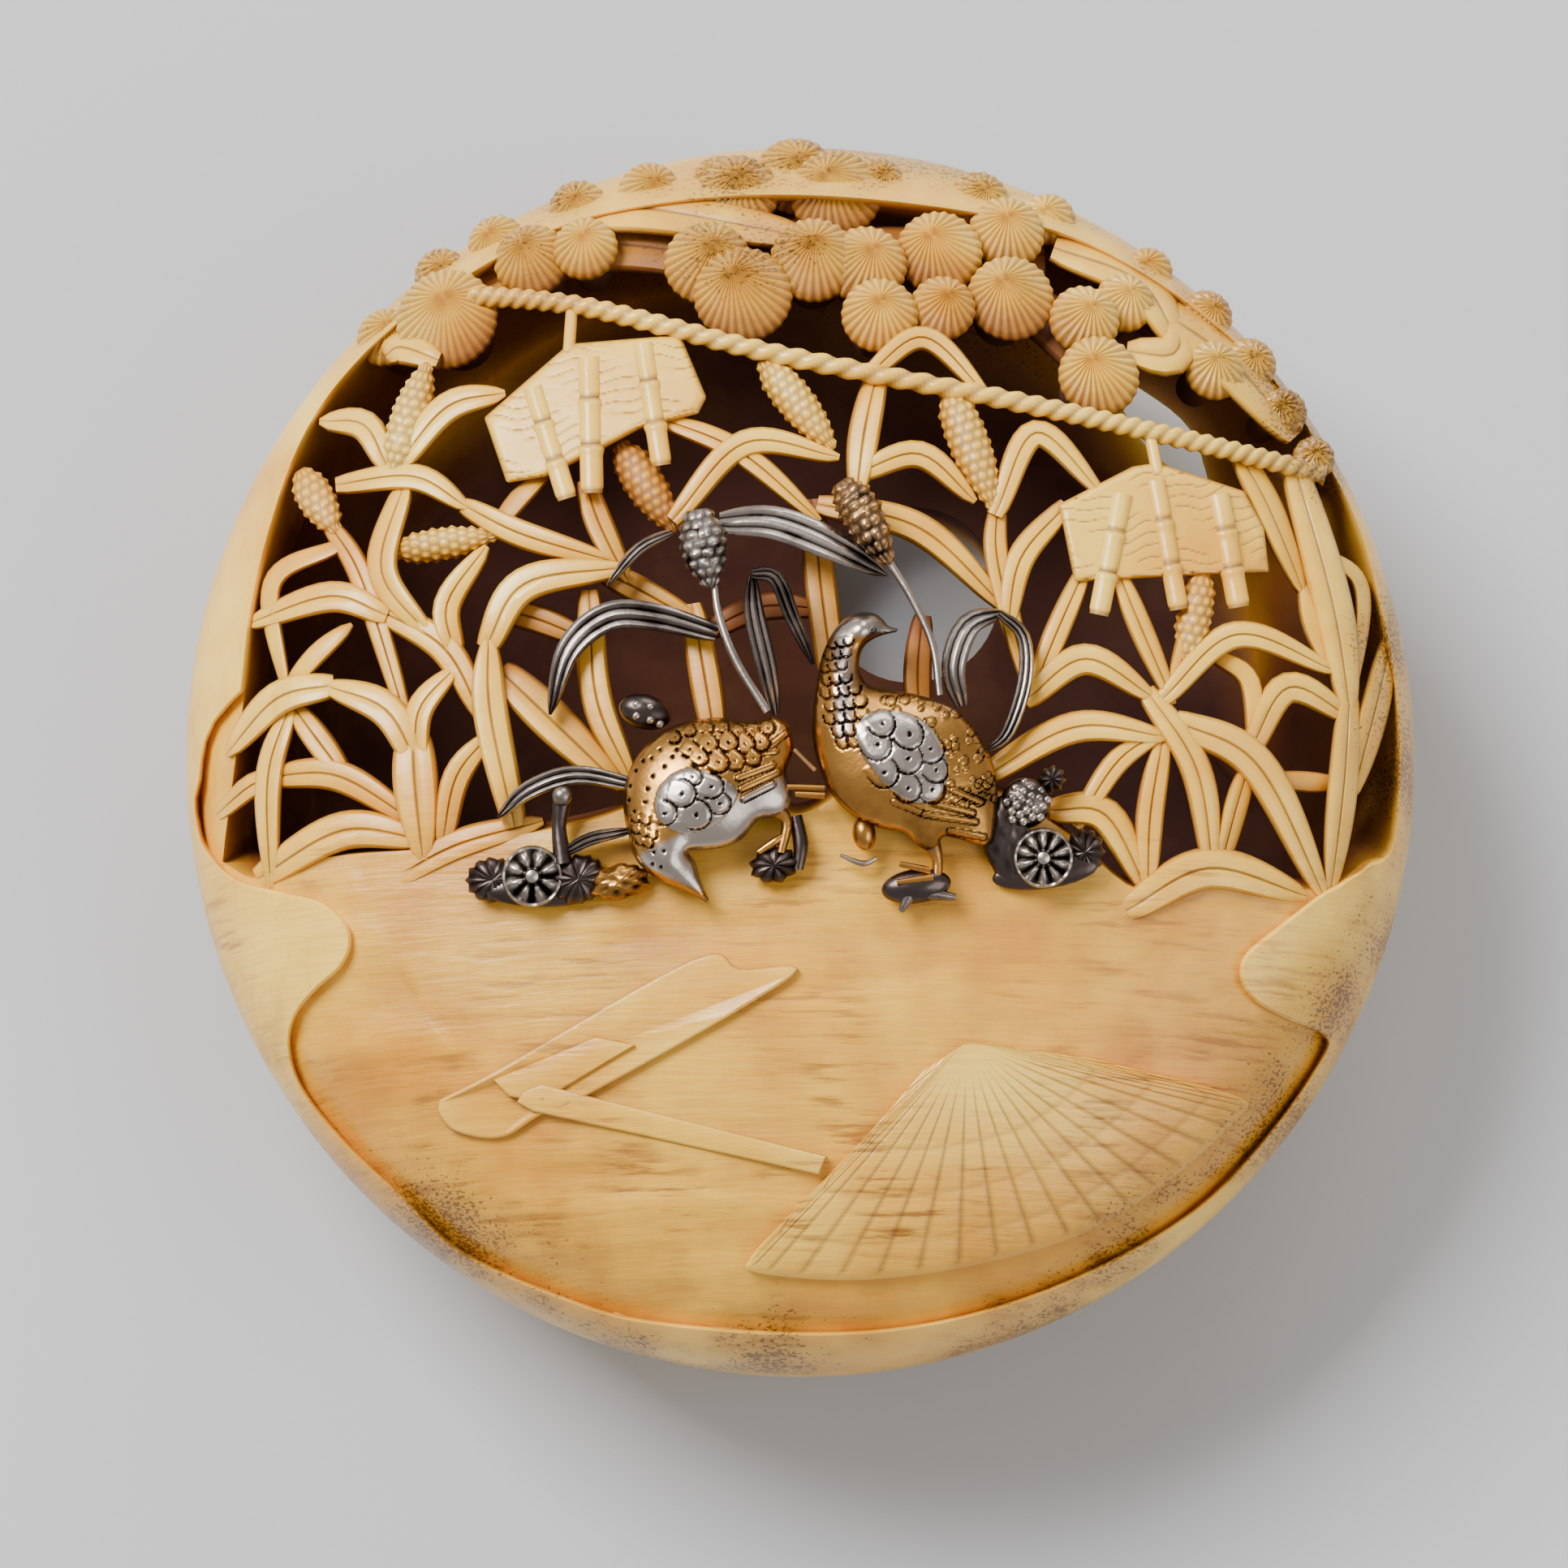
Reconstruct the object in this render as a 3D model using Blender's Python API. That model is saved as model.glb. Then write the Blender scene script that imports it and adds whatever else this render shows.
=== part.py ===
# A netsuke of the openwork, hollowed bun kind: one piece of carved and stained ivory, with two
# mixed-metal ornaments of quail, millet and chrysanthemums set on its front.
# Metres, +Z up. It lies on its back, and the origin is the middle of the small flat it rests on.
# Places on the front are given as a viewer sees them: (across, up) in millimetres from the middle
# of the round outline, looked at from LEAN degrees off straight down, and put onto the dome.

import math

import bmesh
import bpy
from mathutils import Vector

MM = 0.001

# Turned body
HALF_WIDTH = 22.5 * MM
HALF_HEIGHT = 22.95 * MM
EQUATOR_Z = 9.5 * MM
FRONT_RISE = 9.0 * MM
BACK_DEPTH = 9.75 * MM
SWELL = 2.25
WALL = 2.2 * MM
FLOOR_Z = 2.1 * MM
TURN_SIDES = 40
LEAN = math.radians(13.0)

UNCUT_BASE = 0.12 * MM

# Cord hole through the back
CORD_HOLE_RADIUS = 3.3 * MM
CORD_HOLE_AT = (4.2 * MM, 7.8 * MM)

# Carving
GROUND_SINK = 0.45
PLATE_SINK = 0.12
BLADE_DEPTH = 1.7
DISH_SINK = 0.55
BOUGH_DEPTH = 1.6
BRANCH_SINK = 1.5
BODY_FACES_KEPT = 0.5
METAL_FACES_KEPT = 0.5
SEAT_GROW = -0.1 * MM

IVORY = (0.80, 0.55, 0.27, 1.0)
SILVER = (0.55, 0.51, 0.49, 1.0)

RIGHT = Vector((1.0, 0.0, 0.0))
UP = Vector((0.0, math.cos(LEAN), math.sin(LEAN)))
OUT = Vector((0.0, -math.sin(LEAN), math.cos(LEAN)))


def clear_scene():
    for old in list(bpy.data.objects):
        bpy.data.objects.remove(old, do_unlink=True)


def make_material(name, colour, roughness, metallic):
    made = bpy.data.materials.new(name)
    made.use_nodes = True
    shader = made.node_tree.nodes["Principled BSDF"]
    shader.inputs["Base Color"].default_value = colour
    shader.inputs["Roughness"].default_value = roughness
    shader.inputs["Metallic"].default_value = metallic
    return made


def make_object(name, bm, group=None):
    bmesh.ops.triangulate(bm, faces=bm.faces[:])
    bmesh.ops.recalc_face_normals(bm, faces=bm.faces[:])
    mesh = bpy.data.meshes.new(name)
    bm.to_mesh(mesh)
    bm.free()
    made = bpy.data.objects.new(name, mesh)
    (group or bpy.context.scene.collection).objects.link(made)
    if group:
        hide_guide(made)
    return made


def hide_guide(guide):
    guide.hide_render = True
    guide.display_type = "WIRE"


def make_group(name):
    group = bpy.data.collections.new(name)
    bpy.context.scene.collection.children.link(group)
    return group


def combine(target, operation, other):
    step = target.modifiers.new(operation.title(), "BOOLEAN")
    step.operation = operation
    step.solver = "EXACT"
    if isinstance(other, bpy.types.Collection):
        step.operand_type = "COLLECTION"
        step.collection = other
    else:
        step.object = other


def on_front(across, up, sink=0.0):
    # The point of the dome that shows at (across, up), then moved in along the line of sight.
    x = across * MM
    y = up * MM
    for _ in range(24):
        reach = min(0.999, math.hypot(x / HALF_WIDTH, y / HALF_HEIGHT))
        height = FRONT_RISE * (1.0 - reach**SWELL) ** (1.0 / SWELL)
        y += 0.6 * ((up * MM - height * math.sin(LEAN)) / math.cos(LEAN) - y)
    return Vector((x, y, EQUATOR_Z + height)) - OUT * (sink * MM)


def dish(across, up):
    # Carving under the metal is cut lower, so that the metal seats clear of it.
    reach = math.hypot((across + 0.5) / 12.0, (up - 2.0) / 9.6)
    share = min(1.0, max(0.0, (1.2 - reach) / 0.2))
    return DISH_SINK * share


def bridge_rings(bm, rings, cap=True):
    for low, high in zip(rings, rings[1:]):
        count = len(low)
        for k in range(count):
            after = (k + 1) % count
            bm.faces.new((low[k], low[after], high[after], high[k]))
    if cap:
        bm.faces.new(list(reversed(rings[0])))
        bm.faces.new(rings[-1])


def bun(name, grow, base_z, front_rings=6, back_rings=5, sides=TURN_SIDES):
    # The turned body, or a copy of it grown or shrunk, cut off flat at base_z.
    wide = HALF_WIDTH + grow
    tall = HALF_HEIGHT + grow
    rise = FRONT_RISE + grow
    depth = BACK_DEPTH + grow
    start = math.asin(min(1.0, (EQUATOR_Z - base_z) / depth) ** (SWELL / 2.0))
    tilts = [-start * (1.0 - k / back_rings) for k in range(back_rings)]
    tilts += [0.5 * math.pi * k / front_rings for k in range(front_rings)]
    bm = bmesh.new()
    rings = []
    for tilt in tilts:
        reach = math.cos(tilt) ** (2.0 / SWELL)
        lift = abs(math.sin(tilt)) ** (2.0 / SWELL)
        z = EQUATOR_Z + (rise * lift if tilt > 0.0 else -depth * lift)
        ring = []
        for k in range(sides):
            turn = 2.0 * math.pi * k / sides
            spot = (wide * reach * math.cos(turn), tall * reach * math.sin(turn), z)
            ring.append(bm.verts.new(spot))
        rings.append(ring)
    bridge_rings(bm, rings, cap=False)
    bm.faces.new(list(reversed(rings[0])))
    pole = bm.verts.new((0.0, 0.0, EQUATOR_Z + rise))
    for k in range(sides):
        bm.faces.new((rings[-1][k], rings[-1][(k + 1) % sides], pole))
    return make_object(name, bm)


def through(points, steps):
    # A smooth path through the given points.
    path = []
    ends = [points[0]] + list(points) + [points[-1]]
    for k in range(len(points) - 1):
        a, b, c, d = (Vector(p) for p in ends[k:k + 4])
        for s in range(steps):
            t = s / steps
            path.append(
                0.5 * (2 * b + (c - a) * t + (2 * a - 5 * b + 4 * c - d) * t * t
                       + (3 * b - a - 3 * c + d) * t**3)
            )
    path.append(Vector(points[-1]))
    return path


def side_of(path, k):
    before = path[max(0, k - 1)]
    after = path[min(len(path) - 1, k + 1)]
    along = (after - before).normalized()
    return Vector((-along.y, along.x))


def blade(group, name, points, width, sink=0.0, ends=0.5, depth=BLADE_DEPTH, steps=2):
    # A long leaf: a band with its top on the dome, narrower below and at both ends.
    path = through(points, steps)
    bm = bmesh.new()
    rings = []
    for k, spot in enumerate(path):
        share = k / (len(path) - 1)
        half = 0.5 * width * (ends + (1.0 - ends) * math.sin(math.pi * share) ** 0.5)
        side = side_of(path, k) * half
        deep = sink + dish(spot.x, spot.y)
        corners = []
        for sign, drop in ((1.0, 0.0), (-1.0, 0.0), (-0.8, depth), (0.8, depth)):
            edge = spot + side * sign
            corners.append(bm.verts.new(on_front(edge.x, edge.y, deep + drop)))
        rings.append(corners)
    bridge_rings(bm, rings)
    return make_object(name, bm, group)


def tube(group, name, points, radii, sink=0.0, sides=6, steps=2, flat=1.0):
    # A round stem or a swelling ear: radii run along it and are read between the given ones.
    path = through(points, steps)
    bm = bmesh.new()
    rings = []
    for k, spot in enumerate(path):
        place = k / (len(path) - 1) * (len(radii) - 1)
        low = min(int(place), len(radii) - 2)
        radius = (radii[low] + (radii[low + 1] - radii[low]) * (place - low)) * MM
        side = side_of(path, k)
        across = RIGHT * side.x + UP * side.y
        middle = on_front(spot.x, spot.y, sink)
        ring = []
        for s in range(sides):
            turn = 2.0 * math.pi * (s + 0.5) / sides
            ring.append(bm.verts.new(middle + across * (radius * math.cos(turn))
                                     + OUT * (flat * radius * math.sin(turn))))
        rings.append(ring)
    bridge_rings(bm, rings)
    return make_object(name, bm, group)


def slab(group, name, outline, sink, depth):
    # A flat piece of any outline that follows the dome.
    bm = bmesh.new()
    tops = [bm.verts.new(on_front(a, b, sink)) for a, b in outline]
    lows = [bm.verts.new(on_front(a, b, sink + depth)) for a, b in outline]
    bridge_rings(bm, [lows, tops])
    return make_object(name, bm, group)


def lump(group, name, middle, half_long, half_wide, turn, rise, lift=0.0, sides=10, rings=6):
    # A rounded body, long along turn degrees, standing rise millimetres each way of the dome.
    bm = bmesh.new()
    bmesh.ops.create_uvsphere(bm, u_segments=sides, v_segments=rings, radius=1.0)
    angle = math.radians(turn)
    along = RIGHT * math.cos(angle) + UP * math.sin(angle)
    across = UP * math.cos(angle) - RIGHT * math.sin(angle)
    centre = on_front(middle[0], middle[1], -lift)
    for vert in bm.verts:
        x, y, z = vert.co
        vert.co = centre + (along * (x * half_long) + across * (y * half_wide)
                            + OUT * (z * rise)) * MM
    return make_object(name, bm, group)


def tuft(group, name, across, up, radius, sink=0.0, post=3.0, sides=8):
    # A pine tuft seen end on: a post that widens to a low domed disc.
    middle = on_front(across, up, sink)
    lean = Vector((middle.x, middle.y, 0.0)) / HALF_WIDTH
    axis = (OUT + lean * 0.35).normalized()
    first = axis.cross(RIGHT).normalized()
    second = axis.cross(first)
    bm = bmesh.new()
    rings = []
    for reach, height in ((0.65, -post), (0.75, -0.8), (1.0, -0.25)):
        ring = []
        for s in range(sides):
            turn = 2.0 * math.pi * s / sides
            spot = middle + axis * (height * MM) + (
                first * math.cos(turn) + second * math.sin(turn)) * (reach * radius * MM)
            ring.append(bm.verts.new(spot))
        rings.append(ring)
    bridge_rings(bm, rings, cap=False)
    bm.faces.new(list(reversed(rings[0])))
    crown = bm.verts.new(middle + axis * (0.12 * radius * MM))
    for s in range(sides):
        bm.faces.new((rings[-1][s], rings[-1][(s + 1) % sides], crown))
    return make_object(name, bm, group)


def prism(name, outline, low_z, high_z):
    bm = bmesh.new()
    spots = [on_front(a, b) for a, b in outline]
    lows = [bm.verts.new((p.x, p.y, low_z)) for p in spots]
    tops = [bm.verts.new((p.x, p.y, high_z)) for p in spots]
    bridge_rings(bm, [lows, tops])
    made = make_object(name, bm)
    hide_guide(made)
    return made


# Outlines on the front. The opening runs up the left of the rim, over the top and down the right,
# then back along the top of the ground, which reaches up under each bird.
RIM_EDGE = (
    (-21.0, -3.9), (-20.5, 0.5), (-19.9, 5.0), (-18.3, 11.0), (-14.6, 16.0), (-9.0, 19.2),
    (0.7, 20.5), (9.0, 18.9), (15.2, 15.7), (19.3, 10.4), (21.4, 4.0), (21.6, -3.1),
)
GROUND_TOP = (
    (19.3, -4.7), (15.5, -4.4), (12.2, -4.9), (9.6, -2.7), (7.0, -0.4), (4.0, 0.8),
    (1.6, 0.2), (0.6, -2.0), (-0.9, -1.8), (-2.2, 0.1), (-5.0, 0.0), (-7.6, -2.2),
    (-12.8, -3.3), (-17.0, -3.7), (-19.5, -4.6),
)
GROUND_EDGE = (
    (-22.6, -1.6), (-21.6, -3.6), (-19.0, -4.9), (-16.6, -5.7), (-16.1, -6.9), (-17.2, -8.4),
    (-18.4, -10.6), (-16.6, -13.7), (-12.4, -17.7), (-5.5, -20.4), (0.4, -20.8), (5.0, -20.4),
    (9.6, -19.0), (14.1, -16.6), (18.5, -11.6), (18.3, -9.9), (16.0, -8.5), (16.2, -7.0),
    (18.9, -4.8), (21.4, -3.6), (21.2, 3.0), (0.0, 8.0), (-20.0, 4.0),
)
HOE_BLADE = (
    (-13.0, -12.7), (-10.8, -11.25), (-3.8, -7.3), (-0.3, -7.9), (-7.3, -12.0),
    (-9.3, -12.9), (-10.8, -13.7), (-12.3, -13.5),
)
HOE_HANDLE = ((-9.9, -11.7), (0.9, -14.3), (0.6, -14.95), (-9.6, -12.7))
HAT = (
    (5.9, -10.2), (4.6, -11.1), (2.2, -13.7), (-1.8, -17.9), (-1.5, -18.5), (2.2, -18.75),
    (6.4, -18.2), (10.2, -17.1), (13.2, -15.3), (15.6, -13.2), (15.9, -12.4), (12.6, -11.4),
)

# Leaves: start, crown and tip of each, with its width and how far it lies in.
LEFT_LEAVES = (
    ((-14.6, 10.5), (-12.8, 12.6), (-10.7, 13.1), 0.9, 0.0),
    ((-15.0, 10.5), (-15.9, 12.0), (-17.6, 12.2), 0.9, 0.1),
    ((-16.9, 9.8), (-14.0, 10.05), (-12.0, 8.9), 0.8, 0.2),
    ((-12.2, 9.0), (-10.0, 7.9), (-6.7, 6.9), 0.8, 0.25),
    ((-17.2, 8.5), (-15.8, 6.2), (-13.9, 0.4), 0.7, 0.5),
    ((-14.9, 5.0), (-17.0, 5.7), (-20.2, 4.7), 0.9, 0.1),
    ((-16.7, 7.6), (-19.2, 6.2), (-18.6, 2.2), 0.6, 0.3),
    ((-18.6, 2.3), (-17.5, 3.6), (-16.2, 4.7), 0.6, 0.4),
    ((-14.4, 9.7), (-15.1, 6.6), (-13.3, 4.2), 0.9, 0.15),
    ((-15.4, 5.3), (-12.8, 3.8), (-11.3, 1.1), 0.9, 0.35),
    ((-12.4, 3.6), (-12.7, 5.4), (-11.3, 7.5), 0.8, 0.2),
    ((-10.2, -2.6), (-11.1, 1.5), (-11.2, 4.2), 1.0, 0.0),
    ((-11.3, 3.8), (-9.9, 6.1), (-6.3, 6.7), 1.0, 0.05),
    ((-13.7, -0.8), (-13.7, 1.5), (-12.4, 3.1), 0.8, 0.1),
    ((-13.7, -0.4), (-14.9, 1.6), (-17.2, 2.5), 1.0, 0.0),
    ((-16.8, 2.5), (-18.9, 2.0), (-20.8, 0.0), 1.0, 0.02),
    ((-13.9, 0.8), (-13.8, -1.0), (-13.5, -3.8), 1.3, 0.05),
    ((-18.3, 1.7), (-17.3, 0.4), (-16.2, -1.0), 0.8, 0.35),
    ((-18.5, 1.6), (-19.2, -0.9), (-19.1, -4.8), 0.8, 0.1),
    ((-19.2, -0.8), (-16.6, -0.8), (-13.7, -2.5), 0.9, 0.3),
    ((-21.2, -2.2), (-19.8, -1.1), (-18.6, -0.8), 0.7, 0.4),
    ((-12.8, -3.2), (-12.3, -0.8), (-11.0, 0.8), 0.8, 0.2),
    ((-10.8, 3.0), (-8.9, 1.2), (-6.4, -1.2), 1.2, 0.6),
    ((-7.6, 5.9), (-7.3, 2.0), (-6.0, -1.0), 0.9, 0.5),
    ((-11.2, 5.2), (-9.6, 4.9), (-7.2, 3.9), 0.8, 1.0),
    ((-7.2, 6.6), (-5.8, 5.9), (-3.0, 4.3), 0.8, 0.9),
    ((-3.9, 5.4), (-3.4, 2.6), (-2.9, -0.4), 0.9, 0.7),
    ((-7.8, 9.9), (-7.2, 8.2), (-6.2, 6.2), 0.8, 0.55),
    ((-9.2, 10.2), (-10.2, 9.2), (-11.2, 7.9), 0.6, 0.6),
    ((-19.6, -4.5), (-16.4, -2.75), (-13.3, -3.1), 1.1, 0.15),
    ((-15.1, -4.8), (-12.4, -3.3), (-9.2, -2.4), 0.9, 0.35),
)
MIDDLE_LEAVES = (
    ((-4.6, 8.4), (-2.0, 11.2), (1.4, 10.7), 0.8, 0.15),
    ((-5.2, 12.2), (-2.2, 10.9), (0.7, 8.4), 0.7, 0.35),
    ((2.8, 13.9), (2.3, 11.6), (2.0, 9.2), 0.9, 0.3),
    ((2.3, 13.6), (4.5, 15.1), (6.9, 12.8), 0.7, 0.1),
    ((2.0, 10.1), (4.3, 10.8), (6.3, 9.1), 0.8, 0.2),
    ((7.0, 8.6), (8.5, 11.6), (10.9, 9.4), 0.8, 0.1),
    ((0.6, 9.0), (4.3, 8.1), (7.4, 5.2), 0.9, 0.5),
    ((9.6, 9.0), (7.9, 7.0), (7.4, 4.4), 0.8, 0.3),
    ((7.1, 9.0), (7.1, 6.8), (8.3, 1.9), 0.7, 0.5),
    ((0.4, 9.2), (0.8, 5.5), (1.6, -0.3), 0.9, 0.7),
    ((-3.4, 4.4), (-1.4, 5.3), (1.0, 5.2), 0.8, 1.0),
    ((0.8, 5.0), (3.6, 4.6), (7.9, 3.4), 0.8, 1.1),
    ((4.4, 5.0), (4.2, 2.8), (4.4, 0.2), 0.8, 0.9),
)
RIGHT_LEAVES = (
    ((11.4, 6.6), (12.2, 4.6), (13.4, 1.8), 0.7, 0.2),
    ((10.2, 6.6), (9.2, 4.4), (8.2, 2.0), 0.7, 0.3),
    ((8.0, 1.9), (10.2, 3.4), (12.7, 2.0), 0.9, 0.1),
    ((12.4, 2.3), (14.2, -0.6), (14.8, -4.6), 0.9, 0.12),
    ((6.4, -0.9), (9.8, 0.95), (13.2, 0.6), 0.9, 0.15),
    ((9.8, -2.6), (11.4, -0.2), (13.3, 1.0), 0.7, 0.3),
    ((13.4, 1.2), (16.4, -0.4), (18.9, -5.2), 1.1, 0.0),
    ((16.1, -0.5), (15.6, -2.0), (14.9, -4.6), 0.7, 0.3),
    ((16.9, -0.9), (18.3, -1.0), (19.8, -1.1), 0.6, 0.7),
    ((13.0, 0.6), (12.5, -2.2), (12.4, -5.1), 0.8, 0.25),
    ((12.9, 1.9), (15.7, 4.3), (19.4, 3.0), 0.8, 0.05),
    ((14.9, 3.6), (16.2, 2.6), (16.3, 0.0), 0.6, 0.4),
    ((16.1, 0.0), (17.6, 2.4), (20.1, 1.2), 0.9, 0.2),
    ((18.0, 10.6), (19.3, 5.5), (19.9, 1.5), 1.2, 0.08),
    ((19.9, 2.2), (19.6, -1.2), (19.1, -5.0), 0.9, 0.1),
    ((19.0, 7.4), (20.5, 6.0), (20.0, 2.0), 0.5, 0.3),
    ((21.6, 4.2), (20.8, 1.4), (19.9, -1.6), 0.9, 0.3),
    ((16.0, 10.9), (17.0, 9.0), (18.3, 5.8), 0.9, 0.45),
    ((18.3, 6.2), (18.6, 4.6), (19.5, 2.6), 0.6, 0.5),
    ((8.9, -2.0), (10.9, -2.2), (12.4, -4.9), 1.0, 0.3),
    ((11.6, -5.6), (14.6, -4.1), (18.2, -5.1), 1.2, 0.1),
    ((14.4, 6.6), (14.1, 4.6), (13.2, 1.9), 0.7, 0.35),
)

# Ears of millet in the ivory: the two ends, and the half width.
EARS = (
    ((-14.7, 10.2), (-13.6, 14.3), 0.75, 0.2),
    ((-14.8, 7.3), (-10.9, 7.9), 0.6, 0.45),
    ((-18.3, 10.4), (-16.8, 8.0), 0.7, 0.45),
    ((-1.4, 14.3), (1.2, 11.0), 0.7, 0.3),
    ((5.3, 13.3), (7.0, 8.8), 0.75, 0.25),
    ((14.5, 6.8), (13.8, 2.9), 0.65, 0.3),
    ((-6.6, 11.3), (-4.5, 8.0), 0.75, 0.9),
)
ROPE = ((-13.3, 16.9), (-8.0, 16.3), (-1.0, 14.5), (8.0, 12.7), (14.0, 11.4), (19.2, 10.2))
ROPE_RADIUS = 0.36
LEFT_BOARD = (
    (-11.45, 12.2), (-8.4, 14.9), (-4.35, 15.2), (-3.4, 12.9), (-3.7, 12.3), (-5.8, 11.75),
    (-7.0, 11.1), (-9.2, 10.0), (-10.6, 9.8),
)
LEFT_CANES = (
    ((-9.7, 13.3), (-8.4, 9.2), 0.38),
    ((-7.65, 14.4), (-7.5, 9.4), 0.42),
    ((-5.7, 14.9), (-5.0, 10.4), 0.38),
)
RIGHT_BOARD = (
    (9.3, 9.0), (12.0, 10.4), (12.9, 10.55), (16.1, 9.55), (16.8, 8.2), (16.95, 6.6), (9.85, 6.2),
)
RIGHT_CANES = (
    ((11.6, 9.4), (10.7, 5.0), 0.38),
    ((12.8, 9.9), (13.6, 5.2), 0.36),
    ((15.1, 9.4), (15.8, 5.3), 0.42),
)
CORD_TIES = (((-8.3, 16.4), (-8.4, 14.6)), ((12.6, 11.9), (12.9, 10.2)))

# Pine tufts: place and radius.
TUFTS = (
    (-13.0, 16.0, 1.9), (-15.3, 15.4, 1.1), (-9.9, 18.2, 1.4), (-7.9, 18.6, 1.2),
    (-0.2, 21.4, 1.5), (1.3, 20.7, 1.7), (-2.3, 20.7, 1.5), (-3.4, 18.0, 1.6),
    (-2.1, 16.8, 1.8), (0.5, 18.1, 1.6), (2.4, 17.9, 1.5), (5.1, 18.4, 1.6),
    (2.9, 16.0, 1.4), (5.2, 16.3, 1.2), (7.7, 16.7, 1.6), (7.6, 19.2, 1.4),
    (10.4, 15.9, 1.3), (10.9, 13.8, 1.5), (15.2, 14.1, 1.1), (4.4, 20.6, 1.2),
)
BOUGHS = (
    ((-11.4, 18.6), (-7.0, 20.1), (-0.2, 19.0), 1.5),
    ((9.3, 18.6), (12.4, 17.4), (13.8, 15.2), 1.3),
    ((14.1, 15.9), (13.6, 14.6), (11.9, 14.7), 1.2),
    ((13.2, 16.3), (15.8, 14.4), (18.2, 11.7), 1.6),
    ((-15.2, 14.6), (-14.6, 14.9), (-13.2, 14.4), 1.0),
)

# Branches that carry the tufts, deeper in.
BRANCHES = (
    ((-14.4, 15.7), (-8.2, 18.6), (-2.8, 18.2), 1.6),
    ((-3.4, 18.2), (2.6, 18.4), (9.0, 18.4), 1.6),
    ((2.2, 17.9), (7.6, 16.9), (11.4, 13.6), 1.5),
    ((10.2, 16.2), (12.4, 16.6), (15.4, 13.9), 1.4),
    ((0.2, 20.9), (0.3, 19.6), (0.4, 18.0), 1.4),
)


def build_carving():
    carving = make_group("carving")
    for side, leaves in (("left", LEFT_LEAVES), ("middle", MIDDLE_LEAVES), ("right", RIGHT_LEAVES)):
        for k, (start, crown, tip, width, sink) in enumerate(leaves):
            blade(carving, f"leaf_{side}_{k}", (start, crown, tip), width, sink)
    for k, (low, high, half, sink) in enumerate(EARS):
        swell = [half * s for s in (0.35, 0.9, 1.0, 0.95, 0.7, 0.3)]
        tube(carving, f"ear_{k}", (low, high), swell, sink + 0.5, steps=5)
    tube(carving, "rope", ROPE, (ROPE_RADIUS, ROPE_RADIUS), 0.2, flat=1.6)
    for side, board, canes in (("left", LEFT_BOARD, LEFT_CANES), ("right", RIGHT_BOARD, RIGHT_CANES)):
        slab(carving, f"board_{side}", board, 0.35, 1.2)
        for k, (top, foot, radius) in enumerate(canes):
            tube(carving, f"cane_{side}_{k}", (top, foot), (radius, radius), 0.4, steps=2)
    for k, (top, foot) in enumerate(CORD_TIES):
        tube(carving, f"tie_{k}", (top, foot), (0.25, 0.25), 0.45, steps=1)
    for k, (across, up, radius) in enumerate(TUFTS):
        tuft(carving, f"tuft_{k}", across, up, radius, sink=0.25 + 0.12 * (k % 3))
    for k, (start, crown, tip, width) in enumerate(BOUGHS):
        blade(carving, f"bough_{k}", (start, crown, tip), width, 0.3, depth=BOUGH_DEPTH)
    for k, (start, crown, tip, width) in enumerate(BRANCHES):
        blade(carving, f"branch_{k}", (start, crown, tip), width, BRANCH_SINK + 0.2 * k, ends=0.8)
    return carving


def thin_out(target, share):
    # Drops the slivers that the cuts leave, and joins faces that lie nearly flat.
    step = target.modifiers.new("Thin out", "DECIMATE")
    step.ratio = share


def build_body():
    body = bun("ivory_body", 0.0, -UNCUT_BASE)
    hollow = bun("hollow", -WALL, FLOOR_Z, front_rings=5, back_rings=4, sides=32)
    hide_guide(hollow)
    combine(body, "DIFFERENCE", hollow)

    bm = bmesh.new()
    bmesh.ops.create_cone(bm, cap_ends=True, segments=20, radius1=CORD_HOLE_RADIUS,
                          radius2=CORD_HOLE_RADIUS, depth=4.0 * WALL)
    bmesh.ops.translate(bm, verts=bm.verts[:], vec=(*CORD_HOLE_AT, 0.0))
    hole = make_object("cord_hole", bm)
    hide_guide(hole)
    combine(body, "DIFFERENCE", hole)

    opening = prism("opening", RIM_EDGE + GROUND_TOP, EQUATOR_Z + 0.2 * MM, EQUATOR_Z + 2 * FRONT_RISE)
    combine(body, "DIFFERENCE", opening)

    ground = prism("ground", GROUND_EDGE, EQUATOR_Z + 0.5 * MM, EQUATOR_Z + 2 * FRONT_RISE)
    floor = bun("ground_floor", -GROUND_SINK * MM, 0.0)
    hide_guide(floor)
    combine(ground, "DIFFERENCE", floor)
    combine(body, "DIFFERENCE", ground)

    plate_top = bun("plate_top", -PLATE_SINK * MM, 0.0)
    hide_guide(plate_top)
    carving = build_carving()
    for name, outline in (("hoe_blade", HOE_BLADE), ("hoe_handle", HOE_HANDLE), ("hat", HAT)):
        plate = slab(carving, name, outline, -1.5, 2.6)
        combine(plate, "INTERSECT", plate_top)
    combine(body, "UNION", carving)
    thin_out(body, BODY_FACES_KEPT)

    # The flat that it rests on is cut last, so that it is true.
    bm = bmesh.new()
    bmesh.ops.create_cube(bm, size=4.0 * HALF_WIDTH)
    bmesh.ops.translate(bm, verts=bm.verts[:], vec=(0.0, 0.0, -2.0 * HALF_WIDTH))
    bench = make_object("bench", bm)
    hide_guide(bench)
    combine(body, "DIFFERENCE", bench)
    body.data.materials.append(make_material("ivory", IVORY, 0.32, 0.0))
    return body


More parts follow.
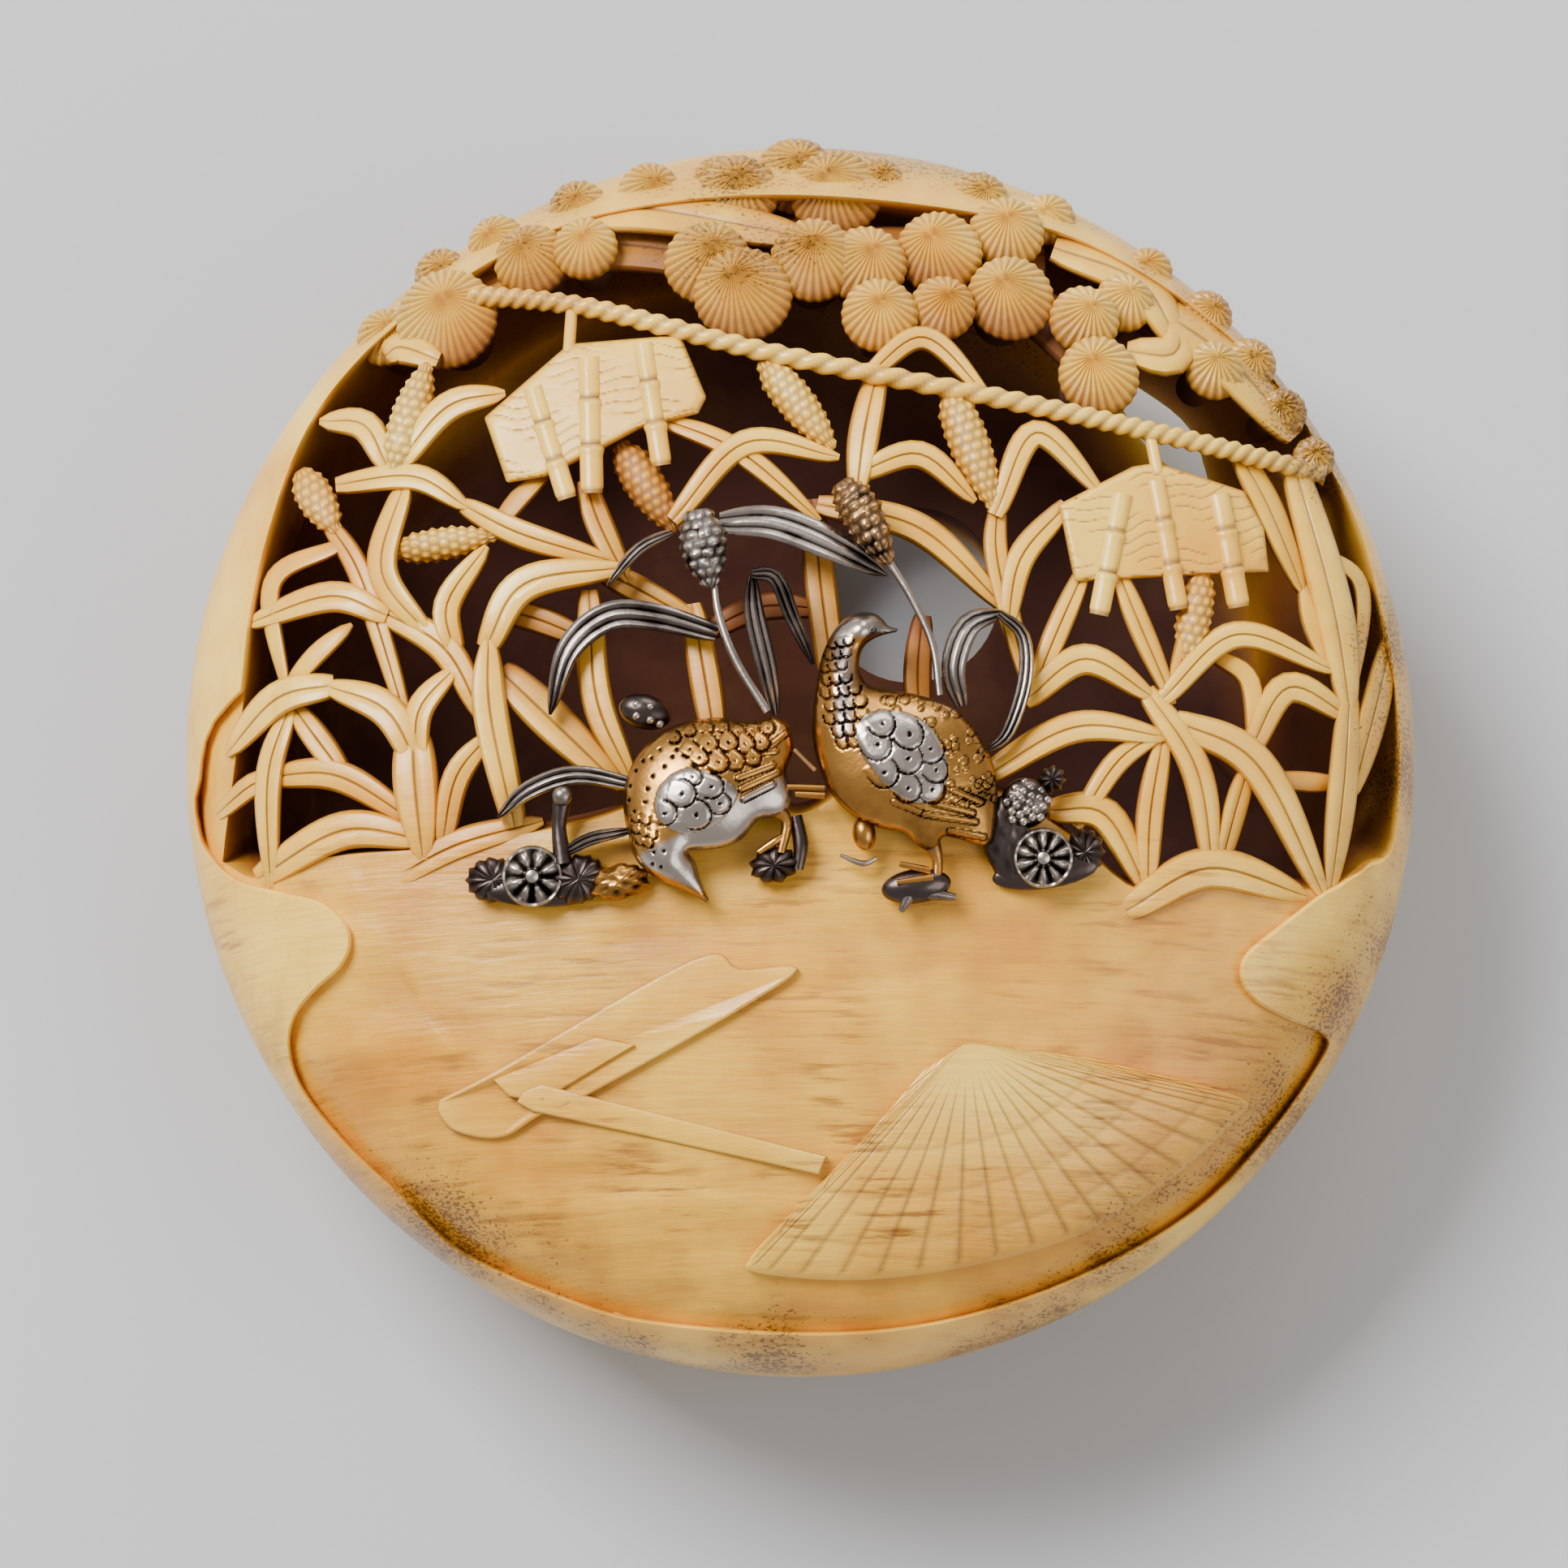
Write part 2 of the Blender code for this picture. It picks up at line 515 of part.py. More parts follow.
def seat_on_front(group, name, material):
    # All the lumps and stems of one ornament become one casting, hollowed to sit over the carving.
    first = group.objects[0]
    group.objects.unlink(first)
    bpy.context.scene.collection.objects.link(first)
    first.name = name
    first.hide_render = False
    first.display_type = "TEXTURED"
    combine(first, "UNION", group)
    combine(first, "DIFFERENCE", bpy.data.objects["seat"])
    thin_out(first, METAL_FACES_KEPT)
    first.data.materials.append(material)
    return first


def build_left_ornament(material):
    group = make_group("left_ornament")
    lump(group, "quail_body", (-3.6, -0.9), 3.1, 2.1, 28.0, 2.1)
    lump(group, "quail_head", (-4.5, -4.0), 1.8, 1.0, -38.0, 1.5, 0.2)
    lump(group, "quail_neck", (-5.2, -2.7), 1.5, 1.1, -60.0, 1.6, 0.1)
    lump(group, "wing", (-3.6, -1.3), 1.9, 1.3, 25.0, 1.0, 1.5)
    tube(group, "leg", ((-1.6, -1.6), (-0.8, -2.6), (-1.0, -4.3)), (0.5, 0.4, 0.6), -0.4)
    lump(group, "foot", (-1.0, -3.9), 0.8, 0.9, 0.0, 0.6, 0.2, sides=8, rings=5)
    tube(group, "straws", ((-1.6, -1.2), (0.2, -1.35)), (0.4, 0.3), -0.5, steps=1)
    lump(group, "flower", (-9.54, -4.3), 1.1, 1.05, 0.0, 0.75, 0.3, sides=12)
    lump(group, "flower_leaf_left", (-10.9, -4.5), 0.9, 0.75, 0.0, 0.6, 0.1, sides=8, rings=5)
    lump(group, "flower_leaf_right", (-7.9, -4.4), 1.0, 0.9, 20.0, 0.7, 0.1, sides=8, rings=5)
    lump(group, "foliage", (-6.4, -4.5), 1.1, 0.75, 15.0, 0.8, 0.1, sides=8, rings=5)
    tube(group, "bud_stem", ((-8.5, -1.5), (-8.45, -3.8)), (0.42, 0.35), -0.55, steps=2)
    lump(group, "bud", (-8.5, -1.5), 0.45, 0.45, 0.0, 0.45, 0.7, sides=8, rings=5)
    tube(group, "stem_blade", ((-8.4, -3.6), (-5.9, -2.6)), (0.25, 0.3), -0.45, steps=2)
    tube(group, "low_blade", ((-10.7, -2.2), (-8.9, -0.8), (-5.9, -1.1)), (0.2, 0.38, 0.35), -0.35)
    lump(group, "berry", (-5.2, 1.4), 1.0, 0.7, -15.0, 0.7, 0.2, sides=8, rings=5)
    tube(group, "long_leaf", ((-9.0, 1.3), (-7.9, 4.3), (-5.4, 5.0), (-2.3, 3.9)),
         (0.2, 0.4, 0.55, 0.3), -0.35)
    tube(group, "stem", ((-3.0, 6.2), (-2.4, 3.6), (-1.0, 0.9)), (0.28, 0.28), -0.4, steps=3)
    tube(group, "folded_leaf", ((-1.0, 1.2), (-1.7, 4.9), (-1.3, 6.4), (-0.4, 5.3), (0.4, 3.2)),
         (0.35, 0.4, 0.35, 0.3, 0.25), -0.45)
    tube(group, "ear", ((-3.7, 8.8), (-3.1, 5.9)), (0.4, 0.9, 0.85, 0.3), -0.4, steps=4, sides=8)
    tube(group, "high_leaf", ((-7.0, 6.0), (-5.4, 7.5), (-2.9, 8.3), (0.0, 7.9), (2.5, 6.6)),
         (0.2, 0.35, 0.55, 0.6, 0.25), -0.4)
    return seat_on_front(group, "quail_ornament_left", material)


def build_right_ornament(material):
    group = make_group("right_ornament")
    lump(group, "quail_body", (3.7, -0.3), 3.7, 2.5, -32.0, 2.2)
    lump(group, "quail_breast", (1.9, 0.9), 2.4, 1.5, 75.0, 1.8, 0.1)
    lump(group, "quail_rump", (5.4, -1.4), 1.9, 1.9, -50.0, 1.6)
    lump(group, "quail_head", (2.1, 4.2), 1.0, 0.75, 20.0, 0.9, 0.5, sides=10)
    tube(group, "beak", ((2.5, 4.4), (3.6, 4.45)), (0.5, 0.12), -0.7, steps=2)
    tube(group, "neck", ((1.9, 4.0), (1.3, 2.2)), (0.7, 0.95), -0.5, steps=2)
    lump(group, "wing", (3.9, 0.0), 2.2, 1.45, -35.0, 1.0, 1.6)
    tube(group, "leg", ((4.0, -2.0), (4.7, -3.5), (4.4, -4.8)), (0.7, 0.4, 0.5), -0.4)
    lump(group, "foot", (4.2, -4.9), 1.3, 0.8, 10.0, 0.6, 0.2, sides=8, rings=5)
    lump(group, "knee", (2.2, -2.7), 0.5, 0.7, 0.0, 0.6, 0.4, sides=8, rings=5)
    lump(group, "blossom", (8.0, -1.8), 0.95, 0.95, 0.0, 0.7, 0.3, sides=9, rings=5)
    lump(group, "small_bud", (8.9, -0.9), 0.5, 0.55, 40.0, 0.5, 0.3, sides=8, rings=5)
    lump(group, "flower", (8.65, -3.7), 1.1, 1.05, 0.0, 0.75, 0.3, sides=12)
    lump(group, "flower_leaf", (10.1, -3.5), 0.65, 0.75, 0.0, 0.55, 0.1, sides=8, rings=5)
    lump(group, "flower_bed", (7.4, -3.0), 0.9, 1.7, 10.0, 0.6, 0.0, sides=8, rings=5)
    tube(group, "ear", ((1.3, 9.9), (3.2, 6.7)), (0.35, 0.8, 0.8, 0.3), -0.4, steps=4, sides=8)
    tube(group, "stem", ((3.1, 6.9), (4.6, 4.2), (4.9, 1.4)), (0.25, 0.25), -0.4, steps=3)
    tube(group, "leaf_up", ((5.6, 1.2), (5.6, 3.4), (7.2, 5.0)), (0.4, 0.5, 0.3), -0.4, steps=3)
    tube(group, "leaf_down", ((7.0, 5.0), (8.0, 3.2), (6.6, 0.0)), (0.3, 0.32, 0.25), -0.4, steps=3)
    return seat_on_front(group, "quail_ornament_right", material)


clear_scene()
build_body()
seat = bun("seat", SEAT_GROW, 0.0)
hide_guide(seat)
metal = make_material("patinated silver and gilt", SILVER, 0.35, 1.0)
build_left_ornament(metal)
build_right_ornament(metal)
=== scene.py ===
import math
import random

import bmesh
import bpy
import numpy as np
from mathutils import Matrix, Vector, noise


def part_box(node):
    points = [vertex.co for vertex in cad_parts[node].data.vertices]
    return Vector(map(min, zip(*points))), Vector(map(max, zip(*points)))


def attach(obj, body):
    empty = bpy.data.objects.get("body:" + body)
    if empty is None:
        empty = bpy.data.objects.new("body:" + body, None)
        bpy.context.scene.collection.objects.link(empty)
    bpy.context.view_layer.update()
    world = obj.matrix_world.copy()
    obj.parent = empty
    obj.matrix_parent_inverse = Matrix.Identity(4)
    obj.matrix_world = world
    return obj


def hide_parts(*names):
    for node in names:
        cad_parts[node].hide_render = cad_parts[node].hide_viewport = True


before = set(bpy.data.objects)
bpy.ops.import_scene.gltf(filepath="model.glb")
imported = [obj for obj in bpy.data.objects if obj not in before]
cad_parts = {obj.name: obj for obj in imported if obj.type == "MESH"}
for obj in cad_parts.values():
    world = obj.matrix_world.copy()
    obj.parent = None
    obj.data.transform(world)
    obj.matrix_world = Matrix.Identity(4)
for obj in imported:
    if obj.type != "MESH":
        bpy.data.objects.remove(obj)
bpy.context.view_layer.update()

# A netsuke: hollow openwork ivory with two ornaments of silver and gilt on its front.
# Places on the front are (across, up) in millimetres from the middle of its round outline, as the
# camera sees it, and onFront puts them on the dome.

mm = 0.001
bunLow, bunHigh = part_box("ivory_body")
bun = {
    "halfWidth": (bunHigh[0] - bunLow[0]) / 2,
    "halfHeight": (bunHigh[1] - bunLow[1]) / 2,
    "equator": 9.5 * mm,
    "frontRise": 9.0 * mm,
    "backDepth": 9.75 * mm,
    "swell": 2.25,
    "wall": 2.2 * mm,
    "floor": 2.1 * mm,
    "cordHoleAt": (4.2 * mm, 7.8 * mm),
    "cordHoleRadius": 3.3 * mm,
    "groundSink": 0.45,
    "metalLift": 0.3,
}
camera = {"lean": math.radians(13.0), "lens": 200.0, "pixelsPerMm": 33.6, "frame": 1932, "middle": (986, 930)}

right = Vector((1, 0, 0))
up = Vector((0, math.cos(camera["lean"]), math.sin(camera["lean"])))
out = Vector((0, -math.sin(camera["lean"]), math.cos(camera["lean"])))
centre = Vector((0, 0, bun["equator"]))
dice = random.Random(7)


def clamp(value, low=0.0, high=1.0):
    return max(low, min(high, value))


def onFront(across, high, sink=0.0):
    # the point of the dome seen at (across, high), moved in by sink along the line of sight
    x, y = across * mm, high * mm
    for _ in range(14):
        reach = min(0.999, math.hypot(x / bun["halfWidth"], y / bun["halfHeight"]))
        rise = bun["frontRise"] * (1 - reach ** bun["swell"]) ** (1 / bun["swell"])
        y += 0.75 * ((high * mm - rise * math.sin(camera["lean"])) / math.cos(camera["lean"]) - y)
    return Vector((x, y, bun["equator"] + rise)) - out * (sink * mm)


def gauge(spot):
    # 1 on the turned surface, less inside it
    reach = math.hypot(spot.x / bun["halfWidth"], spot.y / bun["halfHeight"])
    tall = bun["frontRise"] if spot.z > bun["equator"] else bun["backDepth"]
    return (reach ** bun["swell"] + (abs(spot.z - bun["equator"]) / tall) ** bun["swell"]) ** (1 / bun["swell"])


def seenAt(spot):
    shifted = spot - centre
    return shifted.dot(right) / mm, shifted.dot(up) / mm


# Materials

def linear(code):
    values = [int(code[k:k + 2], 16) / 255 for k in (1, 3, 5)]
    return [v / 12.92 if v <= 0.04045 else ((v + 0.055) / 1.055) ** 2.4 for v in values] + [1.0]


def addNode(tree, kind, settings=None, links=None):
    # one node with its settings and what feeds it
    node = tree.nodes.new(kind)
    for key, value in (settings or {}).items():
        if isinstance(key, str) and key in node.bl_rna.properties:
            setattr(node, key, value)
        else:
            node.inputs[key].default_value = value
    for key, source in (links or {}).items():
        tree.links.new(source, node.inputs[key])
    return node


def calc(tree, operation, first, second=None, third=None):
    node = tree.nodes.new("ShaderNodeMath")
    node.operation = operation
    for k, value in enumerate((first, second, third)):
        if value is None:
            continue
        if isinstance(value, (int, float)):
            node.inputs[k].default_value = value
        else:
            tree.links.new(value, node.inputs[k])
    return node.outputs[0]


def ramp(tree, factor, stops):
    node = tree.nodes.new("ShaderNodeValToRGB")
    while len(node.color_ramp.elements) < len(stops):
        node.color_ramp.elements.new(0.5)
    for element, (place, code) in zip(node.color_ramp.elements, stops):
        element.position = place
        element.color = linear(code)
    tree.links.new(factor, node.inputs["Fac"])
    return node.outputs["Color"]


def mixColour(tree, factor, first, second, blend="MIX"):
    node = tree.nodes.new("ShaderNodeMix")
    node.data_type = "RGBA"
    node.blend_type = blend
    for key, value in ((0, factor), (6, first), (7, second)):
        if isinstance(value, (int, float)):
            node.inputs[key].default_value = value
        elif isinstance(value, str):
            node.inputs[key].default_value = linear(value)
        else:
            tree.links.new(value, node.inputs[key])
    return node.outputs[2]


def startMaterial(name):
    made = bpy.data.materials.new(name)
    made.use_nodes = True
    tree = made.node_tree
    return made, tree, tree.nodes["Principled BSDF"]


def noiseOn(tree, coords, scale, detail=3.0, stretch=(1, 1, 1), roughness=0.55, turn=0.0):
    mapped = addNode(tree, "ShaderNodeMapping", {"Scale": stretch, "Rotation": (0, 0, turn)}, {"Vector": coords})
    made = addNode(tree, "ShaderNodeTexNoise", {"Scale": scale, "Detail": detail, "Roughness": roughness},
                   {"Vector": mapped.outputs[0]})
    return made.outputs["Fac"]


# honey and brown are the dye left in the cuts, with painted shade in them too; dark and recess are painted shade deep
# in the cuts and inside the hollow
ivory = {
    "polished": "#F7CC58",
    "pale": "#EEB83A",
    "honey": "#C98E26",
    "brown": "#8A4E10",
    "dark": "#542408",
    "recess": "#2A1005",
    "streak": "#92540F",
    "speckle": "#3E1A08",
    "strokeLong": 3.4,
    "strokeTall": 0.34,
    "speckleSize": 0.16,
}


def stepBetween(tree, value, low, high):
    node = addNode(tree, "ShaderNodeMapRange", {"From Min": low, "From Max": high}, {"Value": value})
    node.interpolation_type = "SMOOTHSTEP"
    return node.outputs[0]


def makeIvory(name="stained ivory, carved and polished"):
    # Elephant ivory, carved, stained with a warm dye and rubbed back: high places stay pale and glossy, and colour and
    # dirt stay in what is cut; the darkening with depth under the dome is partly that and partly painted shade, going
    # to near black in the hollow.
    made, tree, shader = startMaterial(name)
    coords = addNode(tree, "ShaderNodeTexCoord").outputs["Object"]
    split = addNode(tree, "ShaderNodeSeparateXYZ", None, {0: coords}).outputs
    x = calc(tree, "DIVIDE", split[0], bun["halfWidth"])
    y = calc(tree, "DIVIDE", split[1], bun["halfHeight"])
    z = calc(tree, "SUBTRACT", split[2], bun["equator"])
    front = calc(tree, "GREATER_THAN", z, 0.0)
    tall = calc(tree, "MULTIPLY_ADD", front, bun["frontRise"] - bun["backDepth"], bun["backDepth"])
    flatReach = calc(tree, "ADD", calc(tree, "MULTIPLY", x, x), calc(tree, "MULTIPLY", y, y))
    level = calc(tree, "POWER", flatReach, bun["swell"] / 2)
    raised = calc(tree, "POWER", calc(tree, "ABSOLUTE", calc(tree, "DIVIDE", z, tall)), bun["swell"])
    reach = calc(tree, "POWER", calc(tree, "ADD", level, raised), 1 / bun["swell"])
    fromCentre = addNode(tree, "ShaderNodeVectorMath", {"operation": "DISTANCE", 1: tuple(centre)}, {0: coords})
    inner = calc(tree, "SUBTRACT", calc(tree, "DIVIDE", 1.0, calc(tree, "MAXIMUM", reach, 0.05)), 1.0)
    depth = calc(tree, "MULTIPLY", calc(tree, "MULTIPLY", fromCentre.outputs["Value"], inner), 1 / mm)

    mottle = noiseOn(tree, coords, 420, 4.0)
    blotch = noiseOn(tree, coords, 130, 4.0)
    patches = noiseOn(tree, coords, 190, 3.0)
    stain = addNode(tree, "ShaderNodeAttribute", {"attribute_name": "stain"}).outputs["Fac"]
    # the colour darkens with depth under the dome: the dye in shallow cuts, and painted shade further in
    depthShade = calc(tree, "MULTIPLY", calc(tree, "ADD", depth, calc(tree, "MULTIPLY_ADD", mottle, 1.0, -0.5)), 0.2)
    body = ramp(tree, depthShade, [
        (0.0, ivory["polished"]), (0.09, ivory["pale"]), (0.2, ivory["honey"]), (0.36, ivory["brown"]),
        (0.6, ivory["dark"]), (1.0, ivory["recess"]),
    ])
    warm = ramp(tree, blotch, [(0.36, "#FFFFFF"), (0.66, "#E4BC78")])
    body = mixColour(tree, 0.8, body, warm, "MULTIPLY")

    # short strokes of the knife that took the stain, mostly on the ground and the lower rim
    streak = noiseOn(tree, coords, 1 / (ivory["strokeLong"] * mm), 5.0,
                     (1, ivory["strokeLong"] / ivory["strokeTall"], 1), 0.62, math.radians(-5))
    lower = stepBetween(tree, split[1], -0.0025, -0.0065)
    gathered = calc(tree, "MULTIPLY", stepBetween(tree, streak, 0.5, 0.66), stepBetween(tree, patches, 0.42, 0.6))
    below = stepBetween(tree, split[1], -0.010, -0.020)
    streakAmount = calc(tree, "MULTIPLY", calc(tree, "MULTIPLY", gathered, lower),
                        calc(tree, "MULTIPLY_ADD", below, 0.3, 0.6))
    body = mixColour(tree, streakAmount, body, ivory["streak"])
    lengthways = noiseOn(tree, coords, 240, 4.0, (5, 1, 1), 0.6, math.radians(12))
    leftRim = calc(tree, "MULTIPLY", stepBetween(tree, split[0], -0.016, -0.020), stepBetween(tree, lengthways, 0.5, 0.7))
    body = mixColour(tree, calc(tree, "MULTIPLY", leftRim, 0.45), body, ivory["honey"])

    # dark speckle of dye in the pores, heavy at the top among the pines and along the lower rim
    speckle = noiseOn(tree, coords, 1 / (ivory["speckleSize"] * mm), 3.0, (1, 1.5, 1))
    top = stepBetween(tree, split[1], 0.012, 0.018)
    rim = stepBetween(tree, calc(tree, "SQRT", flatReach), 0.82, 0.96)
    bottom = stepBetween(tree, split[1], -0.009, -0.018)
    rightRim = stepBetween(tree, split[0], 0.010, 0.019)
    lowRim = calc(tree, "MULTIPLY", rim, calc(tree, "MAXIMUM", bottom, rightRim))
    zone = calc(tree, "MINIMUM", calc(tree, "ADD", calc(tree, "MULTIPLY", top, 0.85), lowRim), 1.0)
    heavy = calc(tree, "MULTIPLY", zone, stepBetween(tree, patches, 0.3, 0.68))
    threshold = calc(tree, "MULTIPLY_ADD", heavy, -0.30, 0.74)
    dots = stepBetween(tree, calc(tree, "SUBTRACT", speckle, threshold), 0.0, 0.09)
    body = mixColour(tree, calc(tree, "MULTIPLY", heavy, 0.7), body, "#A06A26")
    body = mixColour(tree, calc(tree, "MULTIPLY", dots, 0.7), body, ivory["speckle"])

    # the stain attribute darkens towards #4E220A: dye in the cut lines, and painted shade down the sides, under the
    # pieces and along the foot of the ground's border
    stainedAndShaded = calc(tree, "MULTIPLY", stain, calc(tree, "MULTIPLY_ADD", mottle, 0.7, 0.6))
    body = mixColour(tree, calc(tree, "MINIMUM", calc(tree, "MULTIPLY", stainedAndShaded, 0.9), 0.95), body, "#4E220A")
    tree.links.new(body, shader.inputs["Base Color"])
    rough = calc(tree, "MULTIPLY_ADD", stain, 0.25, calc(tree, "MULTIPLY_ADD", mottle, 0.16, 0.24))
    rough = calc(tree, "MINIMUM", calc(tree, "MULTIPLY_ADD", depthShade, 0.8, rough), 0.8)
    tree.links.new(rough, shader.inputs["Roughness"])
    shader.inputs["IOR"].default_value = 1.54
    shader.inputs["Subsurface Weight"].default_value = 0.10
    shader.inputs["Subsurface Radius"].default_value = (0.0010, 0.0005, 0.0002)
    shader.inputs["Subsurface Scale"].default_value = 1.0
    tooling = noiseOn(tree, coords, 1100, 3.0, (0.4, 1.0, 1.0))
    strokes = calc(tree, "MULTIPLY_ADD", calc(tree, "MULTIPLY", streak, lower), -1.6, tooling)
    bump = addNode(tree, "ShaderNodeBump", {"Strength": 0.5, "Distance": 0.00008}, {"Height": strokes})
    tree.links.new(bump.outputs[0], shader.inputs["Normal"])
    return made


metalColours = {
    "gilt": "#C08A45",
    "silver": "#B9ADA4",
    "darkSilver": "#5A4E4B",
    "grimeAndShade": "#150C08",
}


def makeMetal(name="silver, parcel-gilt and chased, rubbed bright"):
    # Cast silver with fire gilding and a grey patina: bright where hands rub it, and dark in the
    # chased lines, which is what makes the feathers readable.
    made, tree, shader = startMaterial(name)
    coords = addNode(tree, "ShaderNodeTexCoord").outputs["Object"]
    stain = addNode(tree, "ShaderNodeAttribute", {"attribute_name": "stain"}).outputs["Fac"]
    tone = addNode(tree, "ShaderNodeAttribute", {"attribute_name": "tone"}).outputs["Fac"]
    cloud = noiseOn(tree, coords, 650, 4.0)
    wander = calc(tree, "ADD", tone, calc(tree, "MULTIPLY_ADD", cloud, 0.5, -0.25))
    first = addNode(tree, "ShaderNodeMapRange", {"From Min": 0.2, "From Max": 0.8}, {"Value": wander}).outputs[0]
    second = addNode(tree, "ShaderNodeMapRange", {"From Min": 1.1, "From Max": 1.9}, {"Value": wander}).outputs[0]
    colour = mixColour(tree, first, metalColours["gilt"], metalColours["silver"])
    colour = mixColour(tree, second, colour, metalColours["darkSilver"])
    tarnish = addNode(tree, "ShaderNodeMapRange", {"From Min": 0.46, "From Max": 0.78}, {"Value": cloud})
    # the stain attribute and the clouded tarnish darken towards near black: patina in the chased lines and the metal's
    # own tarnish, and painted shade down the walls and under the pieces
    tarnishAndShade = calc(tree, "MINIMUM", calc(tree, "ADD", stain, calc(tree, "MULTIPLY", tarnish.outputs[0], 0.75)), 1.0)
    tree.links.new(mixColour(tree, tarnishAndShade, colour, metalColours["grimeAndShade"]), shader.inputs["Base Color"])
    tree.links.new(calc(tree, "MULTIPLY_ADD", tarnishAndShade, 0.25, 0.27), shader.inputs["Roughness"])
    shader.inputs["Metallic"].default_value = 1.0
    grain = noiseOn(tree, coords, 2600, 2.0)
    bump = addNode(tree, "ShaderNodeBump", {"Strength": 0.35, "Distance": 0.00004}, {"Height": grain})
    tree.links.new(bump.outputs[0], shader.inputs["Normal"])
    return made


ivoryMaterial = makeIvory()
metal = makeMetal()
print("materials made")


# Carving tools

def newCarving():
    bm = bmesh.new()
    bm.verts.layers.float.new("stain")
    return bm


def addRings(bm, rings, stainAndShadeValues, caps=True):
    # closes a row of rings into one skin; the stain values given, which carry painted shade too, hold one for each
    # point of a ring
    layer = bm.verts.layers.float["stain"]
    rows = []
    for ring in rings:
        row = [bm.verts.new(spot) for spot in ring]
        for vert, value in zip(row, stainAndShadeValues):
            vert[layer] = value
        rows.append(row)
    count = len(rows[0])
    made = []
    for low, high in zip(rows, rows[1:]):
        for k in range(count):
            after = (k + 1) % count
            made.append(bm.faces.new((low[k], low[after], high[after], high[k])))
    if caps:
        for row in (rows[0], rows[-1]):
            middle = bm.verts.new(sum((v.co for v in row), Vector()) / count)
            middle[layer] = sum(stainAndShadeValues) / count
            for k in range(count):
                made.append(bm.faces.new((row[k], row[(k + 1) % count], middle)))
    bmesh.ops.recalc_face_normals(bm, faces=made)
    return rows


def finishPiece(bm, name, materials, node, angle=38.0):
    mesh = bpy.data.meshes.new(name)
    bm.to_mesh(mesh)
    bm.free()
    piece = bpy.data.objects.new(name, mesh)
    bpy.context.scene.collection.objects.link(piece)
    return dressPiece(piece, materials, node, angle)


def dressPiece(piece, materials, node, angle=38.0):
    for material in materials:
        piece.data.materials.append(material)
    bpy.ops.object.select_all(action="DESELECT")
    piece.select_set(True)
    bpy.context.view_layer.objects.active = piece
    bpy.ops.object.shade_smooth_by_angle(angle=math.radians(angle))
    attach(piece, "root")
    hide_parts(node)
    piece.select_set(False)
    print(piece.name, len(piece.data.polygons), "faces")
    return piece


def through(points, spacing=0.35, least=8):
    # a smooth path through the given places, sampled about every spacing millimetres
    spots = [Vector(p) for p in points]
    ends = [spots[0] * 2 - spots[1]] + spots + [spots[-1] * 2 - spots[-2]]
    length = sum((b - a).length for a, b in zip(spots, spots[1:]))
    steps = max(2, round(max(least, length / spacing) / (len(spots) - 1)))
    path = []
    for k in range(len(spots) - 1):
        a, b, c, d = ends[k:k + 4]
        for s in range(steps):
            t = s / steps
            path.append(0.5 * (2 * b + (c - a) * t + (2 * a - 5 * b + 4 * c - d) * t * t
                               + (3 * b - a - 3 * c + d) * t ** 3))
    path.append(spots[-1])
    return path


def sideOf(path, k):
    along = (path[min(k + 1, len(path) - 1)] - path[max(k - 1, 0)]).normalized()
    return Vector((-along.y, along.x))


# a leaf's section: place across as a share of the half width, how far in, and how darkly it is painted, which is stain
# and painted shade in the cut midrib and painted shade down the sides where they go into the work
leafSection = [
    (-0.95, 1.0, 1.0), (-1.2, 0.45, 0.8), (-1.17, 0.22, 0.5), (-1.08, 0.11, 0.25), (-0.93, 0.02, 0.0),
    (-0.55, -0.03, 0.0), (-0.13, -0.015, 0.05), (0.0, 0.055, 0.8), (0.13, -0.015, 0.05), (0.55, -0.03, 0.0),
    (0.93, 0.02, 0.0), (1.08, 0.11, 0.25), (1.17, 0.22, 0.5), (1.2, 0.45, 0.8), (0.95, 1.0, 1.0),
]


# a metal leaf's section in the same three columns: dark in the two chased veins as patina, and painted shade down the
# sides towards the ivory
metalSection = [
    (-0.75, 1.0, 1.0), (-0.95, 0.4, 0.8), (-1.0, 0.12, 0.4), (-0.9, 0.0, 0.0), (-0.72, -0.05, 0.0), (-0.5, 0.0, 0.35),
    (-0.38, 0.055, 1.0), (-0.2, -0.02, 0.1), (0.0, -0.06, 0.0), (0.2, -0.02, 0.1), (0.38, 0.055, 1.0),
    (0.5, 0.0, 0.35), (0.72, -0.05, 0.0), (0.9, 0.0, 0.0), (1.0, 0.12, 0.4), (0.95, 0.4, 0.8), (0.75, 1.0, 1.0),
]


def carveLeaf(bm, points, width, sink=0.0, depth=1.7, baseShare=0.6, tipShare=0.25, dip=0.35, tilt=None, lift=0.0,
              section=leafSection):
    # a long leaf with a cut midrib, pointed at its tip, its ends bent down into the work
    path = through(points)
    lean = dice.uniform(-0.16, 0.16) if tilt is None else tilt
    carved = section is leafSection
    veined = width > 0.62 or not carved
    rings = []
    for k, spot in enumerate(path):
        share = k / (len(path) - 1)
        ends = baseShare if share < 0.5 else tipShare
        half = 0.54 * width * (ends + (1 - ends) * math.sin(math.pi * share) ** 0.6)
        deep = sink + dip * abs(2 * share - 1) ** 3 - lift
        side = sideOf(path, k)
        fade = math.sin(math.pi * share) ** 0.4
        ring = []
        for place, inward, _ in section:
            if abs(place) < 0.5 and not veined:
                inward = -0.04
            elif place == 0.0 and carved:
                inward = -0.015 + 0.09 * fade
            drop = inward * depth if abs(inward) >= 0.1 else inward
            edge = spot + side * (half * place)
            ring.append(onFront(edge.x, edge.y, deep + drop + lean * place * half * 2))
        rings.append(ring)
    stainAndShadeValues = [s if veined or abs(p) > 0.5 else 0.0 for p, _, s in section]
    return addRings(bm, rings, stainAndShadeValues)


